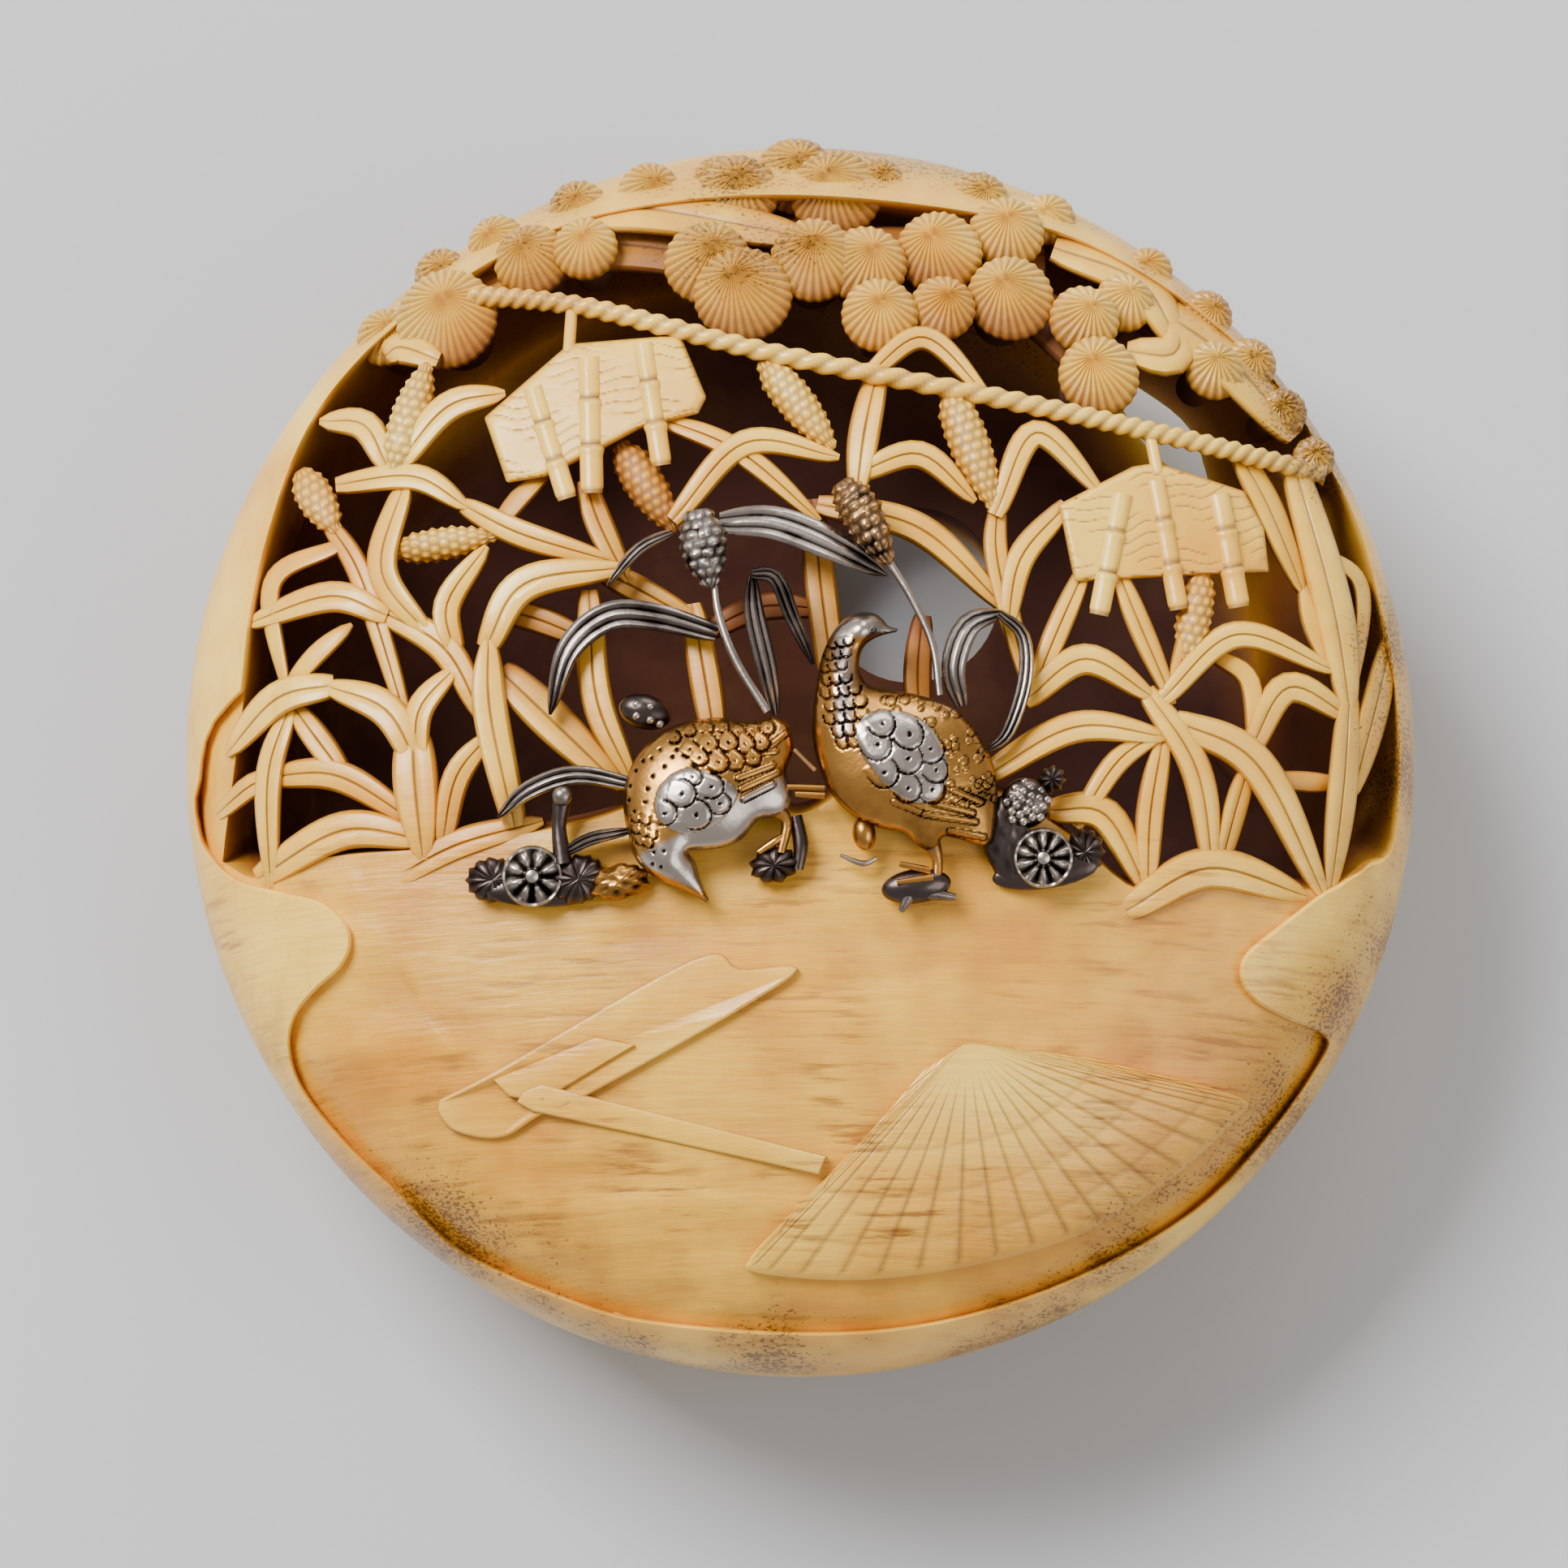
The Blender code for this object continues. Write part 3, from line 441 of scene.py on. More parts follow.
def carveTube(bm, points, radii, sink=0.0, sides=14, flat=1.0, shape=None, spacing=0.3, stain=0.0, lift=0.0):
    # a round stem, or anything that swells and shrinks along its length; shape adds relief to it
    path = through(points, spacing)
    layer = bm.verts.layers.float["stain"]
    rings = []
    values = []
    for k, spot in enumerate(path):
        place = k / (len(path) - 1) * (len(radii) - 1)
        low = min(int(place), len(radii) - 2)
        radius = radii[low] + (radii[low + 1] - radii[low]) * (place - low)
        side = sideOf(path, k)
        across = right * side.x + up * side.y
        middle = onFront(spot.x, spot.y, sink - lift)
        ring = []
        for s in range(sides):
            turn = 2 * math.pi * s / sides
            extra, mark = shape(k / (len(path) - 1), turn) if shape else (0.0, stain)
            reach = (radius + extra) * mm
            ring.append(middle + across * (reach * math.cos(turn)) + out * (flat * reach * math.sin(turn)))
            values.append(mark)
        rings.append(ring)
    rows = addRings(bm, rings, [stain] * sides)
    for row, start in zip(rows, range(0, len(values), sides)):
        for vert, value in zip(row, values[start:start + sides]):
            vert[layer] = value
    return rows


def carveSlab(bm, outline, sink, depth, chamfer=0.12):
    # a flat piece of any outline, its upper edge taken off
    spots = [Vector(p) for p in outline]
    middle = sum(spots, Vector((0, 0))) / len(spots)
    rings = []
    for drop, pull in ((depth, -0.05), (chamfer, 0.0), (0.02, chamfer * 0.8), (0.0, chamfer * 1.8)):
        ring = []
        for k, spot in enumerate(spots):
            before = (spot - spots[k - 1]).normalized()
            after = (spots[(k + 1) % len(spots)] - spot).normalized()
            inward = Vector((-(before.y + after.y), before.x + after.x)).normalized()
            if inward.dot(middle - spot) < 0:
                inward = -inward
            moved = spot + inward * pull
            ring.append(onFront(moved.x, moved.y, sink + drop))
        rings.append(ring)
    # the sides are darkened towards their foot: painted shade under the slab
    layer = bm.verts.layers.float["stain"]
    for row, value in zip(addRings(bm, rings, [0.0] * len(spots)), (1.0, 0.6, 0.1, 0.0)):
        for vert in row:
            vert[layer] = value


def insideOf(outline, across, high):
    crossed = np.zeros(across.shape, bool)
    for k, spot in enumerate(outline):
        last = outline[k - 1]
        spans = (spot.y > high) != (last.y > high)
        slope = (last.x - spot.x) / ((last.y - spot.y) or 1e-9)
        crossed ^= spans & (across < spot.x + (high - spot.y) * slope)
    return crossed


def closedPath(points, spacing=0.08):
    # passes through the places given and ends where it began
    spots = [Vector(p) for p in points]
    count = len(spots)
    path = []
    for k in range(count):
        a, b, c, d = spots[k - 1], spots[k], spots[(k + 1) % count], spots[(k + 2) % count]
        steps = max(1, round((c - b).length / spacing))
        for s in range(steps):
            t = s / steps
            path.append(0.5 * (2 * b + (c - a) * t + (2 * a - 5 * b + 4 * c - d) * t * t
                               + (3 * b - a - 3 * c + d) * t ** 3))
    return path


def swelling(inside, spacing, rounds=2000):
    # height over every place inside, found by relaxing a stretched skin
    skin = np.zeros(inside.shape)
    for _ in range(rounds):
        around = (np.roll(skin, 1, 0) + np.roll(skin, -1, 0) + np.roll(skin, 1, 1) + np.roll(skin, -1, 1)) / 4
        skin = np.where(inside, around + spacing * spacing / 4, 0.0)
    return np.sqrt(2 * skin)


def nearestOn(outline, spot):
    best, far = spot, 1e9
    for k, end in enumerate(outline):
        start = outline[k - 1]
        step = end - start
        share = clamp((spot - start).dot(step) / max(step.length_squared, 1e-12))
        near = start + step * share
        if (near - spot).length < far:
            best, far = near, (near - spot).length
    return best


def carveSheet(bm, outline, spacing, shape, wall, lift):
    # high relief: shape gives the height over the outline; a wall and a back close it
    lowU, highU = min(p.x for p in outline) - 2 * spacing, max(p.x for p in outline) + 3 * spacing
    lowV, highV = min(p.y for p in outline) - 2 * spacing, max(p.y for p in outline) + 3 * spacing
    u, v = np.meshgrid(np.arange(lowU, highU, spacing), np.arange(lowV, highV, spacing), indexing="ij")
    inside = insideOf(outline, u, v)
    height, marks = shape(u, v, inside)
    layers = {key: bm.verts.layers.float[key] for key in marks}
    kept = inside[:-1, :-1] & inside[1:, :-1] & inside[:-1, 1:] & inside[1:, 1:]
    cells = [((i, j), (i + 1, j), (i + 1, j + 1), (i, j + 1)) for i, j in zip(*np.nonzero(kept))]
    uses = {}
    for corners in cells:
        for corner in corners:
            uses[corner] = uses.get(corner, 0) + 1
    tops, backs = {}, {}
    for corner, count in uses.items():
        spot, rise = Vector((u[corner], v[corner])), height[corner]
        if count < 4:
            spot, rise = nearestOn(outline, spot), 0.0
        low = onFront(spot.x, spot.y, -lift)
        tops[corner] = bm.verts.new(low + out * ((wall + rise) * mm))
        backs[corner] = bm.verts.new(low)
        # every layer of the back is set to 1 and the outline's top to 0.6 stain: painted shade down the wall and under
        # the piece
        for key, layer in layers.items():
            tops[corner][layer] = float(marks[key][corner])
            backs[corner][layer] = 1.0
        if count < 4:
            tops[corner][layers["stain"]] = 0.6
    edges, faces = {}, []
    for corners in cells:
        faces.append(bm.faces.new([tops[c] for c in corners]))
        faces.append(bm.faces.new([backs[c] for c in reversed(corners)]))
        for a, b in zip(corners, corners[1:] + corners[:1]):
            if (b, a) in edges:
                del edges[(b, a)]
            else:
                edges[(a, b)] = True
    for a, b in edges:
        faces.append(bm.faces.new((tops[b], tops[a], backs[a], backs[b])))
    bmesh.ops.recalc_face_normals(bm, faces=faces)


# The turned and hollowed body

def shapeBun(piece, grow, base):
    wide, tall = bun["halfWidth"] + grow, bun["halfHeight"] + grow
    rise, depth = bun["frontRise"] + grow, bun["backDepth"] + grow
    power = 2 / bun["swell"]
    for vert in piece.data.vertices:
        height = clamp(vert.co.z, -1, 1)
        reach = math.sqrt(max(0.0, 1 - height * height)) ** power
        flat = math.hypot(vert.co.x, vert.co.y) or 1.0
        z = (rise if height > 0 else -depth) * abs(height) ** power
        vert.co = (wide * reach * vert.co.x / flat, tall * reach * vert.co.y / flat,
                   max(bun["equator"] + z, base))


def turnBun(name, grow, base, segments, rings):
    bpy.ops.object.select_all(action="DESELECT")
    bpy.ops.mesh.primitive_uv_sphere_add(segments=segments, ring_count=rings, radius=1.0)
    piece = bpy.context.active_object
    piece.name = name
    shapeBun(piece, grow, base)
    bpy.ops.object.mode_set(mode="EDIT")
    bpy.ops.mesh.select_all(action="SELECT")
    bpy.ops.mesh.remove_doubles(threshold=1e-6)
    bpy.ops.mesh.dissolve_degenerate(threshold=1e-6)
    bpy.ops.mesh.normals_make_consistent(inside=False)
    bpy.ops.object.mode_set(mode="OBJECT")
    return piece


def cutAway(piece, tool, operation="DIFFERENCE"):
    bpy.ops.object.select_all(action="DESELECT")
    piece.select_set(True)
    bpy.context.view_layer.objects.active = piece
    step = piece.modifiers.new("Cut", "BOOLEAN")
    step.operation = operation
    step.solver = "EXACT"
    step.object = tool
    bpy.ops.object.modifier_apply(modifier=step.name)
    bpy.data.objects.remove(tool, do_unlink=True)


def sinker(name, outline, levels, spacing=0.6):
    # a cutter that goes in at the line of sight: levels are how far in and how far it spreads there
    closed = list(outline) + [outline[0]]
    path = through(closed, spacing)[:-1]
    area = sum(path[k - 1].x * spot.y - path[k - 1].y * spot.x for k, spot in enumerate(path))
    turned = 1 if area > 0 else -1
    middle = Vector((0.0, 8.0))
    bm = newCarving()
    rings = []
    for sink, spread in levels:
        ring = []
        for k, spot in enumerate(path):
            along = (path[(k + 1) % len(path)] - path[k - 1]).normalized()
            outward = Vector((along.y, -along.x)) * turned
            # deep down the whole outline shrinks, so that tight corners can't cross
            moved = middle + (spot - middle) * (1 + spread / 20) if spread < -0.3 else spot + outward * spread
            ring.append(onFront(spot.x, spot.y, sink) + (right * (moved - spot).x + up * (moved - spot).y) * mm)
        rings.append(ring)
    addRings(bm, rings, [0.0] * len(path))
    mesh = bpy.data.meshes.new(name)
    bm.to_mesh(mesh)
    bm.free()
    tool = bpy.data.objects.new(name, mesh)
    bpy.context.scene.collection.objects.link(tool)
    return tool


shell = {
    "rimEdge": [
        (-21.0, -3.9), (-20.6, -1.0), (-20.2, 2.0), (-19.9, 5.0), (-19.3, 8.0), (-18.2, 11.4), (-16.6, 13.9),
        (-14.0, 16.3), (-9.0, 19.2), (-4.5, 20.2), (0.0, 20.4), (4.8, 20.0), (9.2, 19.2), (12.6, 17.6),
        (15.6, 15.4), (17.8, 13.2), (19.4, 10.4), (20.5, 8.0), (21.2, 5.0), (21.7, 1.5), (21.5, -3.1),
    ],
    "groundTop": [
        (20.3, -4.0), (18.6, -4.9), (15.5, -4.4), (12.2, -4.9), (9.6, -2.9), (7.2, -1.4), (4.6, -0.6),
        (1.9, -1.2), (0.4, -2.0), (-0.7, -2.0), (-2.4, -1.0), (-5.0, -1.4), (-7.6, -2.4),
        (-12.8, -3.3), (-17.0, -3.7), (-19.5, -4.5),
    ],
    "groundEdge": [
        (-22.0, -1.6), (-21.95, -2.3), (-21.6, -3.4), (-20.4, -4.5), (-18.6, -4.95), (-17.2, -5.3),
        (-16.25, -6.1), (-16.1, -6.9), (-16.5, -7.7), (-17.4, -8.5), (-18.2, -9.5), (-18.4, -10.7),
        (-17.9, -12.2), (-16.3, -14.1), (-14.2, -16.0), (-12.2, -17.9), (-8.5, -19.5), (-5.5, -20.3),
        (0.4, -20.7), (5.0, -20.3), (9.6, -18.9), (14.1, -16.5), (17.0, -13.6), (18.9, -10.9), (18.8, -10.1),
        (17.6, -9.6), (16.3, -8.9), (15.75, -8.1), (15.9, -7.2), (17.1, -6.2), (18.9, -4.9), (20.6, -3.9),
        (21.5, -2.4), (20.5, 3.0), (12.0, 7.0), (0.0, 8.0), (-12.0, 7.0), (-20.5, 2.0),
    ],
}


def groundRelief(across, high):
    # strokes of the carver's knife, long and low, rising a little to the right
    slanted = high - 0.12 * across
    broad = noise.noise(Vector((across * 0.10, slanted * 0.55, 3.1)))
    fine = noise.noise(Vector((across * 0.22, slanted * 1.5, 9.4)))
    return 0.16 * broad + 0.07 * fine


def buildShell():
    body = turnBun("ivoryShell", 0.0, 0.0, 192, 108)
    cutAway(body, turnBun("hollow", -bun["wall"], bun["floor"], 96, 48))
    bpy.ops.mesh.primitive_cylinder_add(vertices=48, radius=bun["cordHoleRadius"], depth=4 * bun["wall"],
                                        location=(*bun["cordHoleAt"], 0))
    cutAway(body, bpy.context.active_object)
    cutAway(body, sinker("opening", shell["rimEdge"] + shell["groundTop"],
                         [(9.0, -4.2), (4.0, -1.5), (1.2, -0.1), (0.18, 0.05), (0.0, 0.2), (-0.6, 0.5), (-9.0, 0.9)]))
    ground = sinker("ground", shell["groundEdge"],
                    [(3.0, -0.2), (0.5, 0.0), (0.15, 0.03), (0.0, 0.16), (-0.5, 0.5), (-9.0, 0.9)])
    floor = turnBun("groundFloor", -bun["groundSink"] * mm, 0.0, 360, 220)
    print("ground cutter", len(ground.data.polygons), ground.dimensions)
    cutAway(ground, floor)
    print("ground cutter", len(ground.data.polygons), len(body.data.polygons))
    cutAway(body, ground)
    print("body", len(body.data.polygons))
    mesh = body.data
    layer = mesh.attributes.new("stain", "FLOAT", "POINT")
    border = through(shell["groundEdge"][:31], 1.0)
    for vert in mesh.vertices:
        spot = vert.co
        deep = (1 / gauge(spot) - 1) * (spot - centre).length / mm
        if spot.z < bun["equator"] or not 0.25 < deep < 0.62 or vert.normal.dot(out) < 0.3:
            continue
        across, high = seenAt(spot)
        relief = groundRelief(across, high)
        vert.co = spot + out * (relief * mm * clamp((vert.normal.dot(out) - 0.3) * 3))
        # the stain layer is darker in the low places of the strokes, partly stain and partly painted shade, and has
        # painted shade along the foot of the ground's border
        near = min((edge - Vector((across, high))).length for edge in border)
        shade = 0.75 * math.exp(-(near / 0.7) ** 2) * (0.7 + 0.6 * noise.noise(Vector((across, high, 0)) * 0.9))
        layer.data[vert.index].value = clamp(-relief * 1.6 + shade, 0.0, 0.8)
    return dressPiece(body, [ivoryMaterial], "ivory_body")


buildShell()
print("shell turned, hollowed and pierced")

# Millet and grass. Each leaf: start, crown, tip, width, how far in.
leaves = {
    "left": [
        ((-14.6, 10.5), (-12.8, 12.6), (-10.7, 13.1), 0.9, 0.0),
        ((-15.0, 10.5), (-15.9, 12.0), (-17.6, 12.2), 0.9, 0.1),
        ((-16.9, 9.8), (-14.0, 10.05), (-12.0, 8.9), 0.8, 0.2),
        ((-12.2, 9.0), (-10.0, 7.9), (-6.7, 6.9), 0.8, 0.25),
        ((-17.2, 8.5), (-15.8, 6.2), (-13.9, 0.4), 0.7, 0.5),
        ((-14.9, 5.0), (-17.0, 5.7), (-20.2, 4.7), 0.9, 0.1),
        ((-16.7, 7.6), (-19.2, 6.2), (-18.6, 2.2), 0.6, 0.3),
        ((-18.6, 2.3), (-17.5, 3.6), (-16.2, 4.7), 0.6, 0.4),
        ((-14.4, 9.7), (-15.1, 6.6), (-13.3, 4.2), 0.9, 0.15),
        ((-15.4, 5.3), (-12.8, 3.8), (-11.3, 1.1), 0.9, 0.35),
        ((-12.4, 3.6), (-12.7, 5.4), (-11.3, 7.5), 0.8, 0.2),
        ((-10.2, -2.6), (-11.1, 1.5), (-11.2, 4.2), 1.0, 0.0),
        ((-11.3, 3.8), (-9.9, 6.1), (-6.3, 6.7), 1.0, 0.05),
        ((-13.7, -0.8), (-13.7, 1.5), (-12.4, 3.1), 0.8, 0.1),
        ((-13.7, -0.4), (-14.9, 1.6), (-17.2, 2.5), 1.0, 0.0),
        ((-16.8, 2.5), (-18.9, 2.0), (-20.8, 0.0), 1.0, 0.02),
        ((-13.9, 0.8), (-13.8, -1.0), (-13.5, -3.8), 1.3, 0.05),
        ((-18.3, 1.7), (-17.3, 0.4), (-16.2, -1.0), 0.8, 0.35),
        ((-18.5, 1.6), (-19.2, -0.9), (-19.1, -4.8), 0.8, 0.1),
        ((-19.2, -0.8), (-16.6, -0.8), (-13.7, -2.5), 0.9, 0.3),
        ((-21.2, -2.2), (-19.8, -1.1), (-18.6, -0.8), 0.7, 0.4),
        ((-12.8, -3.2), (-12.3, -0.8), (-11.0, 0.8), 0.8, 0.2),
        ((-10.8, 3.0), (-8.9, 1.2), (-6.4, -1.2), 1.2, 0.6),
        ((-7.6, 5.9), (-7.3, 2.0), (-6.0, -1.0), 0.9, 0.5),
        ((-11.2, 5.2), (-9.6, 4.9), (-7.2, 3.9), 0.8, 1.0),
        ((-7.2, 6.6), (-5.8, 5.9), (-3.0, 4.3), 0.8, 0.9),
        ((-3.9, 5.4), (-3.4, 2.6), (-2.9, -0.4), 0.9, 0.7),
        ((-7.8, 9.9), (-7.2, 8.2), (-6.2, 6.2), 0.8, 0.55),
        ((-9.2, 10.2), (-10.2, 9.2), (-11.2, 7.9), 0.6, 0.6),
        ((-19.6, -4.5), (-16.4, -2.75), (-13.3, -3.1), 1.1, 0.15),
        ((-15.1, -4.8), (-12.4, -3.3), (-9.2, -2.4), 0.9, 0.35),
    ],
    "middle": [
        ((-4.6, 8.4), (-2.0, 11.2), (1.4, 10.7), 0.8, 0.15),
        ((-5.2, 12.2), (-2.2, 10.9), (0.7, 8.4), 0.7, 0.35),
        ((2.8, 13.9), (2.3, 11.6), (2.0, 9.2), 0.9, 0.3),
        ((2.3, 13.6), (4.5, 15.1), (6.9, 12.8), 0.7, 0.1),
        ((2.0, 10.1), (4.3, 10.8), (6.3, 9.1), 0.8, 0.2),
        ((7.0, 8.6), (8.5, 11.6), (10.9, 9.4), 0.8, 0.1),
        ((0.6, 9.0), (4.3, 8.1), (7.4, 5.2), 0.9, 0.5),
        ((9.6, 9.0), (7.9, 7.0), (7.4, 4.4), 0.8, 0.3),
        ((7.1, 9.0), (7.1, 6.8), (8.3, 1.9), 0.7, 0.5),
        ((0.4, 9.2), (0.8, 5.5), (1.6, -0.3), 0.9, 1.1),
        ((-3.4, 4.4), (-1.4, 5.3), (1.0, 5.2), 0.8, 1.7),
        ((4.4, 5.0), (4.2, 2.8), (4.4, 0.2), 0.8, 1.3),
    ],
    "right": [
        ((11.4, 6.6), (12.2, 4.6), (13.4, 1.8), 0.7, 0.2),
        ((10.2, 6.6), (9.2, 4.4), (8.2, 2.0), 0.7, 0.3),
        ((8.0, 1.9), (10.2, 3.4), (12.7, 2.0), 0.9, 0.1),
        ((12.4, 2.3), (14.2, -0.6), (14.8, -4.6), 0.9, 0.12),
        ((6.4, -0.9), (9.8, 0.95), (13.2, 0.6), 0.9, 0.15),
        ((9.8, -2.6), (11.4, -0.2), (13.3, 1.0), 0.7, 0.3),
        ((13.4, 1.2), (16.4, -0.4), (18.9, -5.2), 1.1, 0.0),
        ((16.1, -0.5), (15.6, -2.0), (14.9, -4.6), 0.7, 0.3),
        ((16.9, -0.9), (18.3, -1.0), (19.8, -1.1), 0.6, 0.7),
        ((13.0, 0.6), (12.5, -2.2), (12.4, -5.1), 0.8, 0.25),
        ((12.9, 1.9), (15.7, 4.3), (19.4, 3.0), 0.8, 0.05),
        ((14.9, 3.6), (16.2, 2.6), (16.3, 0.0), 0.6, 0.4),
        ((16.1, 0.0), (17.6, 2.4), (20.1, 1.2), 0.9, 0.2),
        ((18.0, 10.6), (19.3, 5.5), (19.9, 1.5), 1.2, 0.08),
        ((19.9, 2.2), (19.6, -1.2), (19.1, -5.0), 0.9, 0.1),
        ((19.0, 7.4), (20.5, 6.0), (20.0, 2.0), 0.5, 0.3),
        ((21.6, 4.2), (20.8, 1.4), (19.9, -1.6), 0.9, 0.3),
        ((16.0, 10.9), (17.0, 9.0), (18.3, 5.8), 0.9, 0.45),
        ((18.3, 6.2), (18.6, 4.6), (19.5, 2.6), 0.6, 0.5),
        ((8.9, -2.0), (10.9, -2.2), (12.4, -4.9), 1.0, 0.3),
        ((11.6, -5.6), (14.6, -4.1), (18.2, -5.1), 1.2, 0.1),
        ((14.4, 6.6), (14.1, 4.6), (13.2, 1.9), 0.7, 0.35),
    ],
}
ears = [  # foot, head, half width, how far in
    ((-14.7, 10.2), (-13.6, 14.3), 0.75, 0.1),
    ((-14.8, 7.3), (-10.9, 7.9), 0.6, 0.35),
    ((-18.3, 10.4), (-16.8, 8.0), 0.7, 0.35),
    ((-1.4, 14.3), (1.2, 11.0), 0.7, 0.2),
    ((5.3, 13.3), (7.0, 8.8), 0.75, 0.15),
    ((14.5, 6.8), (13.8, 2.9), 0.65, 0.2),
    ((-6.6, 11.3), (-4.5, 8.0), 0.75, 0.8),
]


def grainRelief(rows, around, height):
    # round grains in offset rows, darkened between them with stain and painted shade
    def relief(share, turn):
        wave = math.sin(math.pi * rows * share) ** 2
        shift = math.pi / around if int(rows * share) % 2 else 0.0
        ripple = math.cos(around * (turn + shift)) * 0.5 + 0.5
        bead = wave * ripple
        return height * (bead - 0.4), clamp(0.75 - 1.6 * bead, 0.0, 0.7)
    return relief


def buildLeaves():
    bm = newCarving()
    for clump in leaves.values():
        for start, crown, tip, width, sink in clump:
            carveLeaf(bm, (start, crown, tip), width, sink)
    for foot, head, half, sink in ears:
        swell = [half * s for s in (0.35, 0.9, 1.0, 0.95, 0.7, 0.2)]
        carveTube(bm, (foot, head), swell, sink + 0.45, sides=40, spacing=0.09,
                  shape=grainRelief(round((Vector(head) - Vector(foot)).length / 0.36), 10, 0.09))
    return finishPiece(bm, "milletLeaves", [ivoryMaterial], "ivory_body")


buildLeaves()
print("leaves and millet carved")

# Pine: tufts of needles seen end on, on their boughs. Each tuft: across, up, radius.
pine = {
    "tufts": [
        (-13.0, 16.0, 1.9), (-15.3, 15.4, 1.1), (-9.9, 18.2, 1.4), (-7.9, 18.6, 1.2),
        (-0.2, 21.4, 1.5), (1.3, 20.7, 1.7), (-2.3, 20.7, 1.5), (-3.4, 18.0, 1.6),
        (-2.1, 16.8, 1.8), (0.5, 18.1, 1.6), (2.4, 17.9, 1.5), (5.1, 18.4, 1.6),
        (2.9, 16.0, 1.4), (5.2, 16.3, 1.2), (7.7, 16.7, 1.6), (7.6, 19.2, 1.4),
        (10.4, 15.9, 1.3), (10.9, 13.8, 1.5), (15.2, 14.1, 1.1), (11.9, 16.6, 1.1),
    ],
    "rimTufts": [
        (-3.0, 21.2, 1.0), (-5.6, 20.8, 1.15), (-8.2, 20.2, 1.1), (-11.2, 18.9, 1.1), (-13.3, 17.8, 1.0),
        (6.6, 20.5, 1.1), (9.2, 19.8, 1.0), (12.9, 17.9, 0.9), (15.0, 16.2, 1.0), (16.6, 14.4, 1.0), (17.8, 12.6, 0.9),
        (0.1, 21.9, 0.95), (2.9, 21.2, 0.9), (18.9, 10.9, 0.8),
    ],
    "boughs": [
        ((-11.4, 18.6), (-7.0, 20.1), (-0.2, 19.0), 1.5),
        ((9.3, 18.6), (12.4, 17.4), (13.8, 15.2), 1.3),
        ((14.1, 15.9), (13.6, 14.6), (11.9, 14.7), 1.2),
        ((13.2, 16.3), (15.8, 14.4), (18.2, 11.7), 1.6),
        ((-15.2, 14.6), (-14.6, 14.9), (-13.2, 14.4), 1.0),
    ],
    "branches": [
        ((-14.4, 15.7), (-8.2, 18.6), (-2.8, 18.2), 1.6),
        ((-3.4, 18.2), (2.6, 18.4), (9.0, 18.4), 1.6),
        ((2.2, 17.9), (7.6, 16.9), (11.4, 13.6), 1.5),
        ((10.2, 16.2), (12.4, 16.6), (15.4, 13.9), 1.4),
        ((0.2, 20.9), (0.3, 19.6), (0.4, 18.0), 1.4),
    ],
    "needles": 26,
}


def carveTuft(bm, across, high, radius, sink, hub=(0.0, 0.42)):
    # the post widens to a low dome cut with needles that meet where it joins its bough
    middle = onFront(across, high, sink)
    lean = Vector((middle.x, middle.y, 0)) / bun["halfWidth"]
    axis = (out + lean * 0.35).normalized()
    first = axis.cross(right).normalized()
    second = axis.cross(first)
    needles = round(pine["needles"] * radius / 1.6)
    sides = needles * 4
    layer = bm.verts.layers.float["stain"]
    profile = [(0.62, -3.0), (0.70, -1.4), (0.80, -0.75), (0.97, -0.5), (1.0, -0.3), (0.97, -0.14),
               (0.84, -0.02), (0.6, 0.08), (0.32, 0.12), (0.12, 0.09)]
    rings = []
    for reach, height in profile:
        ring = []
        for s in range(sides):
            turn = 2 * math.pi * s / sides
            notch = 0.5 - 0.5 * math.cos(turn * needles)
            cut = 0.0 if height < -0.4 else 0.075 * (1 - notch)
            edge = 1 + (0.03 * (notch - 0.5) if reach > 0.8 else 0.0)
            pulled = (1 - reach) ** 1.2 if height > -0.4 else 0.0
            ring.append(middle + axis * ((height - cut) * mm) + (right * hub[0] + up * hub[1]) * (pulled * radius * mm)
                        + (first * math.cos(turn) + second * math.sin(turn)) * (reach * radius * edge * mm))
        rings.append(ring)
    rows = addRings(bm, rings, [0.0] * sides)
    # the post under the dome is darkened as painted shade; the cuts between needles take stain and painted shade
    for row, (reach, height) in zip(rows, profile):
        for s, vert in enumerate(row):
            notch = 0.5 - 0.5 * math.cos(2 * math.pi * s * needles / sides)
            vert[layer] = 0.8 if height < -0.4 else 0.65 * (1 - notch) * clamp(reach * 1.6)


def buildPine():
    bm = newCarving()
    for k, (across, high, radius) in enumerate(pine["tufts"]):
        carveTuft(bm, across, high, radius, 0.25 + 0.12 * (k % 3), (0.25 * math.sin(2.1 * k), 0.42))
    for k, (across, high, radius) in enumerate(pine["rimTufts"]):
        carveTuft(bm, across, high, radius, 0.05 + 0.03 * (k % 2), (0.3 * math.sin(1.7 * k), 0.3))
    for start, crown, tip, width in pine["boughs"]:
        carveLeaf(bm, (start, crown, tip), width, 0.3, depth=1.6, tipShare=0.5, tilt=0.0)
    for k, (start, crown, tip, width) in enumerate(pine["branches"]):
        carveLeaf(bm, (start, crown, tip), width, 1.5 + 0.2 * k, baseShare=0.8, tipShare=0.8, tilt=0.0)
    return finishPiece(bm, "pineTufts", [ivoryMaterial], "ivory_body", angle=50.0)


buildPine()
print("pine carved")

